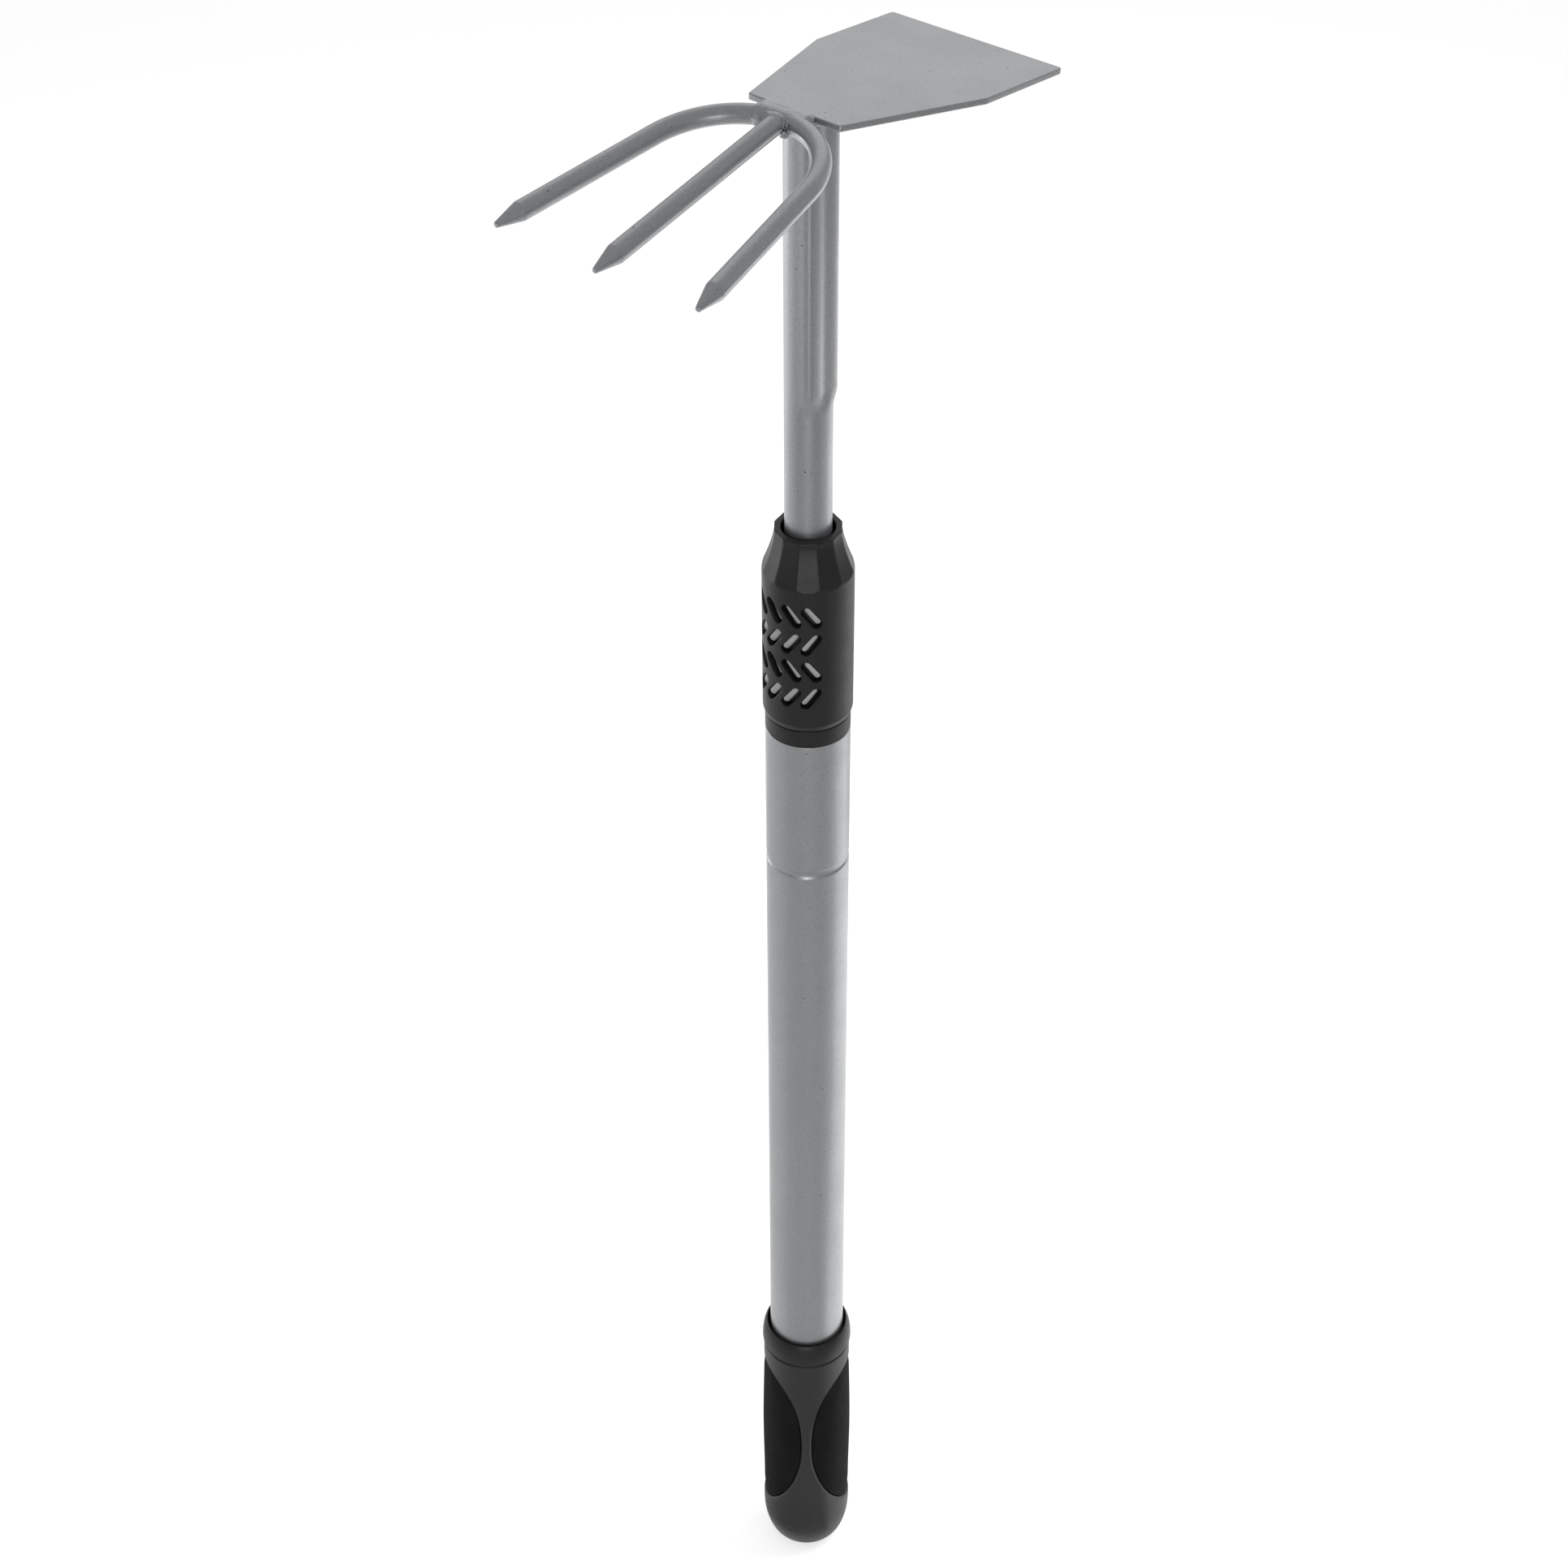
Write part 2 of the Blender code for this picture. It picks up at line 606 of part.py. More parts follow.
def lock_nut():
    """Light sleeve in the collar: runs on the lock body's neck and pushes the collet's head."""
    top = COLLAR_SHOULDER - GAP
    push_face = COLLET_TOP + GAP
    bottom = COLLAR_BOTTOM + GAP
    outline = [
        (NUT_RADIUS, top),
        (NUT_RADIUS, bottom),
        (NUT_BORE, bottom),
        (NUT_BORE, push_face),
        (TUBE_GUIDE + GAP, push_face),
        (TUBE_GUIDE + GAP, push_face + NUT_FLANGE_HEIGHT),
        (NUT_BORE, push_face + NUT_FLANGE_HEIGHT),
        (NUT_BORE, top),
    ]
    return turned("lock_nut", outline, LIGHT_PLASTIC)


def collar_outline():
    """Outer profile of the collar from its rim down to its cylinder, as (radius, height)."""
    outline = [(COLLAR_NECK_RADIUS, COLLAR_TOP)]
    flare_top = COLLAR_TOP - COLLAR_FLARE_DROP
    steps = 5
    for i in range(steps + 1):
        share = i / steps
        flare = (COLLAR_RADIUS - COLLAR_NECK_RADIUS) * share ** COLLAR_FLARE_POWER
        height = flare_top + (COLLAR_SHOULDER - flare_top) * share
        outline.append((COLLAR_NECK_RADIUS + flare, height))
    return outline


def facet_neck(mesh):
    """Flatten the collar's flare into facets, which fade out on its cylinder."""
    sector = 2 * math.pi / COLLAR_FACETS
    for vertex in mesh.vertices:
        radius = math.hypot(vertex.co.x, vertex.co.y)
        if radius > COLLAR_MOUTH + GAP and vertex.co.z > COLLAR_SHOULDER + GAP:
            angle = math.atan2(vertex.co.y, vertex.co.x) % sector
            flat = radius / math.cos(angle - sector / 2)
            share = min(flat, COLLAR_RADIUS) / radius
            vertex.co.x *= share
            vertex.co.y *= share


def slot_cutter(name, azimuth, height, slant_angle):
    """Slanted slot with round ends, cut through the collar's wall from outside."""
    half_straight = (SLOT_LENGTH - SLOT_WIDTH) / 2
    steps = 4
    outline = []
    for side in (1, -1):
        for i in range(steps + 1):
            angle = math.pi * i / steps
            x = side * SLOT_WIDTH / 2 * math.cos(angle)
            y = side * (half_straight + SLOT_WIDTH / 2 * math.sin(angle))
            outline.append((x, y))
    curve = bpy.data.curves.new(name, "CURVE")
    curve.dimensions = "2D"
    curve.fill_mode = "BOTH"
    curve.extrude = SLOT_REACH
    spline = curve.splines.new("POLY")
    spline.points.add(len(outline) - 1)
    for target, (x, y) in zip(spline.points, outline):
        target.co = (x, y, 0.0, 1.0)
    spline.use_cyclic_u = True
    flat = bpy.data.objects.new(name, curve)
    CUTTERS.objects.link(flat)
    mesh = baked_mesh(flat)
    bpy.data.objects.remove(flat)
    cutter = bpy.data.objects.new(name, mesh)
    CUTTERS.objects.link(cutter)
    outward = Matrix.Rotation(math.pi / 2, 4, "Z") @ Matrix.Rotation(math.pi / 2, 4, "X")
    place = Matrix.Translation((COLLAR_RADIUS - COLLAR_WALL / 2, 0.0, height))
    slant = Matrix.Rotation(slant_angle, 4, "Z")
    cutter.matrix_world = turn_about_z(azimuth) @ place @ outward @ slant
    return cutter


def collar_shell():
    """Twist collar: faceted neck over a cylinder with two groups of slots in a herringbone."""
    mouth_bottom = COLLAR_TOP - COLLAR_MOUTH_LENGTH
    outer = collar_outline() + [(COLLAR_RADIUS, COLLAR_BOTTOM + COLLAR_TAPER_HEIGHT)]
    outer += [(COLLAR_RADIUS - COLLAR_TAPER, COLLAR_BOTTOM)]
    inner = [(COLLAR_BORE, COLLAR_BOTTOM), (COLLAR_BORE, COLLAR_SHOULDER)]
    inner += [(COLLAR_MOUTH, mouth_bottom), (COLLAR_MOUTH, COLLAR_TOP)]
    shell = turned("collar_shell", outer + inner, BLACK_PLASTIC, FINE_SIDES)
    facet_neck(shell.data)
    shell.data.transform(turn_about_z(COLLAR_AZIMUTH - math.pi / COLLAR_FACETS))
    smooth(shell.data)
    for group in range(2):
        for row in range(SLOT_ROWS):
            for column in range(SLOTS_PER_ROW):
                middle = SLOT_GROUP_AZIMUTH + math.pi * group
                azimuth = middle + SLOT_STEP * (column - (SLOTS_PER_ROW - 1) / 2)
                height = COLLAR_BOTTOM + SLOT_LOW_ROW + SLOT_ROW_PITCH * row
                slant = SLOT_SLANT if row % 2 else -SLOT_SLANT
                name = f"collar_slot_{group + 1}_{row + 1}_{column + 1}"
                cut(shell, slot_cutter(name, azimuth, height, slant))
    return shell


def grip_outline():
    """Outer profile of the grip from its top edge to its flat end, as (radius, height)."""
    top = (GRIP_RADIUS - GRIP_NECK_DIP, GRIP_LENGTH - GAP)
    neck = (GRIP_RADIUS - GRIP_NECK_DIP, GRIP_LENGTH - GRIP_NECK_DROP)
    belly = (GRIP_RADIUS, WINDOW_CENTRE)
    pinch = (GRIP_RADIUS - GRIP_PINCH_DIP, GRIP_END_HEIGHT + GRIP_PINCH_RISE)
    bulge = (GRIP_RADIUS - GRIP_BULGE_DIP, GRIP_END_HEIGHT)
    side = [top] + eased(neck, belly, 4) + eased(belly, pinch, 3) + eased(pinch, bulge, 2)
    width = bulge[0] - GRIP_END_RADIUS
    end = quarter_ellipse(GRIP_END_RADIUS, GRIP_END_HEIGHT, width, GRIP_END_HEIGHT, 0.0, -math.pi / 2, 7)
    return side + end


def eased(start, end, steps):
    """Points from one (radius, height) towards another, with a radius that changes smoothly."""
    points = []
    for i in range(steps):
        share = (1 - math.cos(math.pi * i / steps)) / 2
        radius = start[0] + (end[0] - start[0]) * share
        points.append((radius, start[1] + (end[1] - start[1]) * i / steps))
    return points


def grip_radius_at(height):
    """Radius of the grip's outer profile at a height."""
    points = grip_outline()
    for (upper_radius, upper), (lower_radius, lower) in zip(points, points[1:]):
        if lower <= height <= upper:
            share = (height - lower) / (upper - lower)
            return lower_radius + share * (upper_radius - lower_radius)
    return points[0][0]


def window_half_angle(turn):
    """Half the angle that a window spans, where turn runs from -90 degrees to 90 degrees."""
    power = 2.5 if turn > 0 else 1.9
    level = abs(math.sin(turn))
    return WINDOW_HALF_ANGLE * max(1 - level ** power, 0.0) ** (1 / power)


def window_reach(height):
    """Inner and outer radius of the cutter for a window."""
    return GRIP_BASE_BORE, GRIP_RADIUS + GRIP_BASE_WALL


def panel_reach(height):
    """Inner and outer radius of a panel at a height."""
    return GRIP_BORE, grip_radius_at(height) - PANEL_RECESS


def wrapped_patch(name, azimuth, margin, collection, reach_at):
    """Solid with a window's outline, wrapped round the grip, smaller by a margin all round."""
    rows = 12
    columns = 14
    shape = bmesh.new()
    layers = []
    for layer in range(2):
        grid = []
        for row in range(rows + 1):
            turn = WINDOW_END_TURN * (2 * row / rows - 1)
            height = WINDOW_CENTRE + (WINDOW_HALF_HEIGHT - margin) * math.sin(turn)
            half = max(window_half_angle(turn) - margin / GRIP_RADIUS, 0.0)
            radius = reach_at(height)[layer]
            line = []
            for column in range(columns + 1):
                angle = azimuth + half * (2 * column / columns - 1)
                spot = (radius * math.cos(angle), radius * math.sin(angle), height)
                line.append(shape.verts.new(spot))
            grid.append(line)
        layers.append(grid)
    add_grid_faces(shape, layers)
    mesh = bpy.data.meshes.new(name)
    shape.to_mesh(mesh)
    shape.free()
    patch = bpy.data.objects.new(name, mesh)
    collection.objects.link(patch)
    return patch


def add_grid_faces(shape, layers):
    """Faces of two grids of points and of the walls between their edges, all facing out."""
    inner, outer = layers
    for row in range(len(outer) - 1):
        for column in range(len(outer[0]) - 1):
            corners = ((row, column), (row, column + 1), (row + 1, column + 1), (row + 1, column))
            shape.faces.new([outer[i][j] for i, j in corners])
            shape.faces.new([inner[i][j] for i, j in reversed(corners)])
        below, above = row, row + 1
        shape.faces.new([inner[below][0], outer[below][0], outer[above][0], inner[above][0]])
        shape.faces.new([outer[below][-1], inner[below][-1], inner[above][-1], outer[above][-1]])
    for column in range(len(outer[0]) - 1):
        left, right = column, column + 1
        shape.faces.new([outer[0][left], inner[0][left], inner[0][right], outer[0][right]])
        shape.faces.new([inner[-1][left], outer[-1][left], outer[-1][right], inner[-1][right]])


def grip_cover():
    """Outer grip with a closed, flat end and a window on each side."""
    inner = [(0.0, GRIP_END_THICKNESS), (GRIP_BORE, GRIP_END_THICKNESS), (GRIP_BORE, GRIP_LENGTH - GAP)]
    cover = turned("grip_cover", inner + grip_outline() + [(0.0, 0.0)], SOFT_BLACK, FINE_SIDES)
    for side in range(2):
        azimuth = PANEL_AZIMUTH + math.pi * side
        cut(cover, wrapped_patch(f"grip_window_{side + 1}", azimuth, 0.0, CUTTERS, window_reach))
    return cover


def grip_panel(name, azimuth):
    """Soft panel that lies in a window of the grip, a little below its surface."""
    patch = wrapped_patch(name, azimuth, GAP, PARTS, panel_reach)
    smooth(patch.data)
    add_finish(patch, SOFT_BLACK)
    return patch


def grip_ring():
    """Rounded ring at the top of the grip."""
    bottom = GRIP_LENGTH
    top = bottom + GRIP_RING_HEIGHT
    full = GRIP_RADIUS - 0.0002
    round_height = GRIP_RING_HEIGHT - 0.0012
    width = full - LOWER_TUBE_RADIUS - GAP
    crown = quarter_ellipse(
        LOWER_TUBE_RADIUS + GAP, top - round_height, width, round_height, math.pi / 2, 0.0, 7
    )
    outline = crown + [(full, bottom), (GRIP_BASE_BORE, bottom)]
    return turned("grip_ring", outline, BLACK_PLASTIC, FINE_SIDES)


def grip_base():
    """Hard sleeve with a floor, between the lower tube and the soft grip."""
    top = GRIP_LENGTH - GAP
    outline = [
        (0.0, GRIP_BASE_FLOOR),
        (GRIP_BASE_BORE, GRIP_BASE_FLOOR),
        (GRIP_BASE_BORE, top),
        (GRIP_BASE_RADIUS, top),
        (GRIP_BASE_RADIUS, GRIP_BASE_BOTTOM),
        (0.0, GRIP_BASE_BOTTOM),
    ]
    return turned("grip_base", outline, BLACK_PLASTIC)


def build():
    """Make every piece of the tool."""
    hoe_blade()
    outer_tines()
    centre_tine()
    rod_weld()
    tine_weld()
    tube_weld()
    upper_tube()
    tube_end_plug()
    guide_bush()
    bush_stop_ring()
    lower_tube()
    lock_body()
    collet()
    lock_nut()
    collar_shell()
    grip_base()
    grip_cover()
    grip_ring()
    grip_panel("grip_panel_right", PANEL_AZIMUTH)
    grip_panel("grip_panel_left", PANEL_AZIMUTH + math.pi)


build()
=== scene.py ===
"""Studio scene of a telescopic hoe and rake tool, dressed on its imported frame.

Units are metres and radians, in the frame's own axes: +Z runs up the handle, +X towards the hoe
blade, -X towards the rake tines, and the origin is the centre of the grip's flat end.
"""

import json
import math

import bmesh
import bpy
from mathutils import Matrix, Vector, noise

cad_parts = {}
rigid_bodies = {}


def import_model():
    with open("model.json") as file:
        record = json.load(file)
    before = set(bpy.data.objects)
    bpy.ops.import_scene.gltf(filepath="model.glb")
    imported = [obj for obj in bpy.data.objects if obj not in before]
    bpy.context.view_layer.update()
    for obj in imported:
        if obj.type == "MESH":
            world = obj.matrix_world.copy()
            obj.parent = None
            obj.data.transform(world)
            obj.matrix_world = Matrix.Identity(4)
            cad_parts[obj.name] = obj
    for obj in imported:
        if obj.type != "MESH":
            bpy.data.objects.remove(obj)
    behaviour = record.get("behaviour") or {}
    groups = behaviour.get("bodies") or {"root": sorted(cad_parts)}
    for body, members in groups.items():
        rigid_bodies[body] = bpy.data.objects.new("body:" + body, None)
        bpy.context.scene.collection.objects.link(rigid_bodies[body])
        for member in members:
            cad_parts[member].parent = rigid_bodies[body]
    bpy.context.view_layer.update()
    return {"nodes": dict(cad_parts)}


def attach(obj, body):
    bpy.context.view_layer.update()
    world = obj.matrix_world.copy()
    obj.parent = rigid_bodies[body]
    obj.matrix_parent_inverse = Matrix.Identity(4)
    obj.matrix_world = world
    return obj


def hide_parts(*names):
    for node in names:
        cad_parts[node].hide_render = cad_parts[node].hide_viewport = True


for item in list(bpy.data.objects):
    bpy.data.objects.remove(item)
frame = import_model()

# Sizes of the frame's pieces, and of the forms that only this scene has
GAP = 0.0003
TUBE_RADIUS = 0.014
STEM_RADIUS = 0.0075
STEM_BORE = 0.0065
ROD_RADIUS = 0.003
ROD_HEIGHT = 0.6279
ROD_BACK = -0.0108
BEND_RADIUS = 0.028
BACK_STRAIGHT = 0.0004
SPLAY = math.radians(9.2)
TINE_REACH = 0.08888
OUTER_TINE_FALL = math.radians(9.7)
CENTRE_TINE_RISE = 0.0013
CENTRE_TINE_FALL = math.radians(11.6)
CENTRE_TINE_ROOT = -0.0152
TIP_LENGTH = 0.0085
TIP_RADIUS = 0.0008
BLADE_TOP = 0.630
BLADE_BACK = -0.0068
BLADE_TILT = math.radians(5.1)
BLADE_THICKNESS = 0.002
BLADE_EDGE = 0.00042
BLADE_CORNER = 0.0011
BLADE_CORNERS = [(0.0, -0.0168), (0.0482, -0.0317), (0.0845, -0.0317)]
GROOVE_AZIMUTH = math.radians(-95)
GROOVE_WIDTH = 0.0071
GROOVE_DEPTH = 0.0008
GROOVE_BOTTOM = 0.5320
GROOVE_TOP = 0.6340
GROOVE_RUNOUT = 0.0075
SHOULDER_RISE = 0.0012
SHOULDER_TURN = math.radians(43.7)
SHOULDER_SPREAD = math.radians(17.3)
# Centre of the painted shade in the weld's pit
WELD_PIT = (-0.0140, -0.0030, 0.6274)
COLLAR_RADIUS = 0.0147
COLLAR_BORE = 0.0128
COLLAR_BOTTOM = 0.4195
COLLAR_TOP = 0.4890
COLLAR_SHOULDER = 0.4735
COLLAR_NECK = 0.0106
COLLAR_MOUTH = 0.0086
COLLAR_FACETS = 12
FLARE_TOP = COLLAR_TOP - 0.0015
FLARE_POWER = 1.4
COLLAR_AZIMUTH = math.radians(-140.2)
SLOT_GROUP_AZIMUTH = math.radians(-175)
SLOT_STEP = math.radians(26)
SLOT_SLANT = math.radians(38)
SLOT_LENGTH = 0.0092
SLOT_WIDTH = 0.0034
SLOT_RIM = 0.0003
SLOT_BASE = 0.0132
SLOT_RISE = 0.0104
SLEEVE_RADIUS = 0.0125
SLEEVE_BORE = 0.0114
TUBE_TOP = 0.4128
ROLL_HEIGHT = 0.3590
ROLL_DEPTH = 0.00045
TUBE_WALL = 0.001
GRIP_RADIUS = 0.01726
GRIP_TOP = 0.1147
WINDOW_BOTTOM = 0.022
WINDOW_TOP = 0.1055
WINDOW_MIDDLE = (WINDOW_TOP + WINDOW_BOTTOM) / 2
WINDOW_HALF = (WINDOW_TOP - WINDOW_BOTTOM) / 2
WINDOW_HALF_ANGLE = math.radians(83)
WINDOW_AZIMUTH = math.radians(-50)
WINDOW_LIP = 0.0017
PANEL_BACK = 0.0155
PANEL_MARGIN = 0.00025
RIB_PITCH = 0.0009
RIB_HEIGHT = 0.00011


# Materials

def add_node(tree, kind, links=(), **settings):
    """Add a shader node, set its properties or sockets and link others into it."""
    node = tree.nodes.new("ShaderNode" + kind)
    for key, value in settings.items():
        if hasattr(node, key):
            setattr(node, key, value)
        else:
            node.inputs[key].default_value = value
    for socket, source in dict(links).items():
        tree.links.new(source, node.inputs[socket])
    return node


def set_range(node, low, high, to_low, to_high):
    """Set the ends of a Map Range node."""
    ends = {"From Min": low, "From Max": high, "To Min": to_low, "To Max": to_high}
    for socket, end in ends.items():
        node.inputs[socket].default_value = end


class Recipe:
    """Node material that is written as a few short lines."""

    def __init__(self, name, colour, roughness, **settings):
        self.material = bpy.data.materials.new(name)
        self.material.use_nodes = True
        self.tree = self.material.node_tree
        self.shader = self.tree.nodes["Principled BSDF"]
        self.colour = colour
        settings.update(Base_Color=(*colour, 1.0), Roughness=roughness)
        for key, value in settings.items():
            self.shader.inputs[key.replace("_", " ")].default_value = value
        self.place = self.node("TexCoord").outputs["Object"]

    def node(self, kind, links=(), **settings):
        """Add a node to this material."""
        return add_node(self.tree, kind, links, **settings)

    def grain(self, scale, detail=2.0, roughness=0.5, place=None):
        """Noise between 0 and 1, with a scale per metre."""
        links = {"Vector": place or self.place}
        noise_node = self.node("TexNoise", links, Scale=scale, Detail=detail, Roughness=roughness)
        return noise_node.outputs["Fac"]

    def stretched(self, x, y, z):
        """Object coordinates scaled along each axis."""
        return self.node("Mapping", {"Vector": self.place}, Scale=(x, y, z)).outputs["Vector"]

    def range(self, value, low, high, to_low, to_high):
        """Map a value from one range to another and clamp it."""
        node = self.node("MapRange", {"Value": value})
        set_range(node, low, high, to_low, to_high)
        return node.outputs["Result"]

    def sum(self, *values):
        """Sum of several values."""
        total = values[0]
        for value in values[1:]:
            total = self.node("Math", {0: total, 1: value}, operation="ADD").outputs[0]
        return total

    def product(self, first, second):
        """Product of two values."""
        return self.node("Math", {0: first, 1: second}, operation="MULTIPLY").outputs[0]

    def mix(self, share, first, second):
        """Colour between two colours, each a colour or a socket."""
        node = self.node("Mix", {"Factor": share}, data_type="RGBA")
        for socket, value in ((node.inputs[6], first), (node.inputs[7], second)):
            if isinstance(value, tuple):
                socket.default_value = (*value, 1.0)
            else:
                self.tree.links.new(value, socket)
        return node.outputs[2]

    def shades(self, value, low, high, dark, light):
        """The material's own colour, from darker at a low value to lighter at a high one."""
        share = self.range(value, low, high, 0.0, 1.0)
        return self.mix(share, shade(self.colour, dark), shade(self.colour, light))

    def set(self, socket, value):
        """Link a value to a socket of the shader."""
        self.tree.links.new(value, self.shader.inputs[socket])

    def bump(self, height, depth):
        """Relief, where depth is its height in metres."""
        node = self.node("Bump", {"Height": height}, Distance=depth)
        self.set("Normal", node.outputs["Normal"])

    def specks(self, scale, size, share):
        """Small round spots in some cells of a grid: 1 in a spot and 0 elsewhere."""
        cells = self.node("TexVoronoi", {"Vector": self.place}, Scale=scale)
        spot = self.range(cells.outputs["Distance"], size * 0.6, size, 1.0, 0.0)
        pick = self.node("SeparateColor", {"Color": cells.outputs["Color"]}).outputs[0]
        chosen = self.range(pick, 1.0 - share, 1.0 - share + 0.01, 0.0, 1.0)
        return self.product(spot, chosen)


def shade(colour, factor):
    """A lighter or darker version of a colour."""
    return tuple(min(value * factor, 1.0) for value in colour)


def paint_material():
    """Silver-grey stoved paint: fine orange peel, metal flake, a few dark pits and painted shade in
    the weld's pit.
    """
    colour = (0.40, 0.412, 0.425)
    coat = {"Coat_Weight": 0.3, "Coat_Roughness": 0.12}
    paint = Recipe("silver_paint", colour, 0.38, Metallic=0.88, **coat)
    flake = paint.grain(3200.0, 1.0)
    cloud = paint.grain(60.0, 3.0)
    peel = paint.grain(1050.0, 2.0, 0.45)
    wave = paint.grain(220.0, 1.0)
    tone = paint.shades(flake, 0.3, 0.7, 0.86, 1.16)
    tone = paint.mix(paint.range(cloud, 0.35, 0.65, 0.0, 0.35), tone, shade(colour, 0.93))
    tone = paint.mix(paint.range(peel, 0.36, 0.64, 0.0, 0.30), tone, shade(colour, 0.78))
    pits = paint.sum(paint.specks(210.0, 0.066, 0.60), paint.specks(430.0, 0.078, 0.45))
    tone = paint.mix(paint.range(pits, 0.0, 1.0, 0.0, 0.85), tone, (0.035, 0.035, 0.04))
    # Painted shade: the paint turns near black in a ragged ball round the weld's pit, in place of
    # the shade that falls in the pit.
    reach = paint.node("VectorMath", {0: paint.place}, operation="DISTANCE")
    reach.inputs[1].default_value = WELD_PIT
    pit_shade_noise = paint.range(paint.grain(900.0, 1.0), 0.40, 0.55, 0.0015, 0.0)
    painted_pit_shade = paint.range(paint.sum(reach.outputs["Value"], pit_shade_noise), 0.0012, 0.0030, 0.9, 0.0)
    paint.set("Base Color", paint.mix(painted_pit_shade, tone, (0.06, 0.06, 0.065)))
    paint.set("Roughness", paint.range(paint.sum(cloud, flake), 0.7, 1.3, 0.33, 0.43))
    depth = paint.sum(peel, wave, paint.product(flake, paint.range(wave, 0.0, 1.0, 0.2, 0.4)))
    dents = paint.range(pits, 0.0, 1.0, 0.0, -2.5)
    paint.bump(paint.sum(depth, dents), 0.000028)
    return paint.material


def plastic_material():
    """Black injection-moulded plastic, satin, with fine spark grain and light scuffs."""
    plastic = Recipe("black_plastic", (0.0075, 0.0075, 0.0080), 0.36, Specular_IOR_Level=0.42)
    grain = plastic.grain(2600.0, 2.0)
    cloud = plastic.grain(90.0, 3.0)
    scuff = plastic.grain(1.0, 4.0, 0.6, plastic.stretched(900.0, 900.0, 90.0))
    scratch = plastic.range(scuff, 0.64, 0.70, 0.0, 1.0)
    patch = plastic.range(plastic.grain(45.0, 2.0), 0.52, 0.66, 0.0, 0.55)
    worn = plastic.product(scratch, patch)
    tone = plastic.shades(grain, 0.35, 0.65, 0.85, 1.2)
    plastic.set("Base Color", plastic.mix(worn, tone, (0.075, 0.075, 0.08)))
    plastic.set("Roughness", plastic.range(plastic.sum(cloud, grain), 0.7, 1.3, 0.34, 0.48))
    plastic.bump(plastic.sum(grain, cloud), 0.000012)
    return plastic.material


def grip_material():
    """Soft satin black of the grip's skin, matt and slightly dusty."""
    skin = Recipe("grip_black", (0.0175, 0.0175, 0.020), 0.44, Specular_IOR_Level=0.42)
    grain = skin.grain(1900.0, 3.0)
    cloud = skin.grain(38.0, 3.0)
    tone = skin.shades(cloud, 0.35, 0.65, 0.88, 1.15)
    dust = skin.specks(700.0, 0.10, 0.05)
    skin.set("Base Color", skin.mix(skin.range(dust, 0.0, 1.0, 0.0, 0.5), tone, (0.10, 0.10, 0.11)))
    skin.set("Roughness", skin.range(skin.sum(cloud, grain), 0.7, 1.3, 0.38, 0.50))
    skin.bump(grain, 0.000016)
    return skin.material


def rubber_material():
    """Matt black rubber of the ribbed window panels."""
    rubber = Recipe("panel_rubber", (0.006, 0.006, 0.0062), 0.62, Specular_IOR_Level=0.10)
    grain = rubber.grain(2800.0, 2.0)
    cloud = rubber.grain(70.0, 3.0)
    rubber.set("Base Color", rubber.shades(cloud, 0.35, 0.65, 0.8, 1.35))
    rubber.set("Roughness", rubber.range(grain, 0.3, 0.7, 0.55, 0.70))
    rubber.bump(grain, 0.000014)
    return rubber.material


def moulded_material(name, colour, roughness, spread):
    """Plain moulded plastic with a fine grain and faint flow marks."""
    plastic = Recipe(name, colour, roughness)
    grain = plastic.grain(2200.0, 2.0)
    flow = plastic.grain(1.0, 3.0, 0.55, plastic.stretched(130.0, 130.0, 30.0))
    plastic.set("Base Color", plastic.shades(flow, 0.3, 0.7, 1.0 - spread, 1.0 + spread))
    plastic.set("Roughness", plastic.range(grain, 0.3, 0.7, roughness - 0.06, roughness + 0.08))
    plastic.bump(plastic.sum(grain, flow), 0.000012)
    return plastic.material


def steel_material():
    """Bare drawn steel with fine lines round the ring."""
    steel = Recipe("bare_steel", (0.48, 0.475, 0.465), 0.32, Metallic=1.0)
    lines = steel.grain(1.0, 3.0, 0.6, steel.stretched(60.0, 60.0, 4200.0))
    cloud = steel.grain(150.0, 3.0)
    steel.set("Base Color", steel.shades(cloud, 0.3, 0.7, 0.86, 1.0))
    steel.set("Roughness", steel.range(lines, 0.3, 0.7, 0.24, 0.42))
    steel.bump(lines, 0.000006)
    return steel.material


PAINT = paint_material()
PLASTIC = plastic_material()
SKIN = grip_material()
RUBBER = rubber_material()
LIGHT_PLASTIC = moulded_material("light_plastic", (0.56, 0.56, 0.58), 0.42, 0.10)
NATURAL_PLASTIC = moulded_material("natural_plastic", (0.66, 0.64, 0.60), 0.40, 0.05)
STEEL = steel_material()


# Mesh helpers

def add_object(name, data):
    """New object in the scene."""
    item = bpy.data.objects.new(name, data)
    bpy.context.scene.collection.objects.link(item)
    return item


def add_mesh(name, points, faces, materials, sharp=math.radians(32)):
    """Mesh object with outward normals, smooth except over sharp edges."""
    mesh = bpy.data.meshes.new(name)
    mesh.from_pydata(points, [], faces)
    shape = bmesh.new()
    shape.from_mesh(mesh)
    bmesh.ops.remove_doubles(shape, verts=shape.verts, dist=1e-7)
    bmesh.ops.recalc_face_normals(shape, faces=shape.faces)
    shape.to_mesh(mesh)
    shape.free()
    mesh.shade_smooth()
    mesh.set_sharp_from_angle(angle=sharp)
    for material in materials:
        mesh.materials.append(material)
    return add_object(name, mesh)


def apply_modifiers(piece):
    """Turn a piece's modifiers into plain mesh."""
    graph = bpy.context.evaluated_depsgraph_get()
    graph.update()
    mesh = bpy.data.meshes.new_from_object(piece.evaluated_get(graph))
    piece.modifiers.clear()
    old = piece.data
    piece.data = mesh
    bpy.data.meshes.remove(old)


def even_normals(piece):
    """Let large faces keep their own shading next to narrow rounded edges."""
    modifier = piece.modifiers.new("even_normals", "WEIGHTED_NORMAL")
    modifier.mode = "FACE_AREA"
    modifier.weight = 60
    modifier.keep_sharp = True
    apply_modifiers(piece)


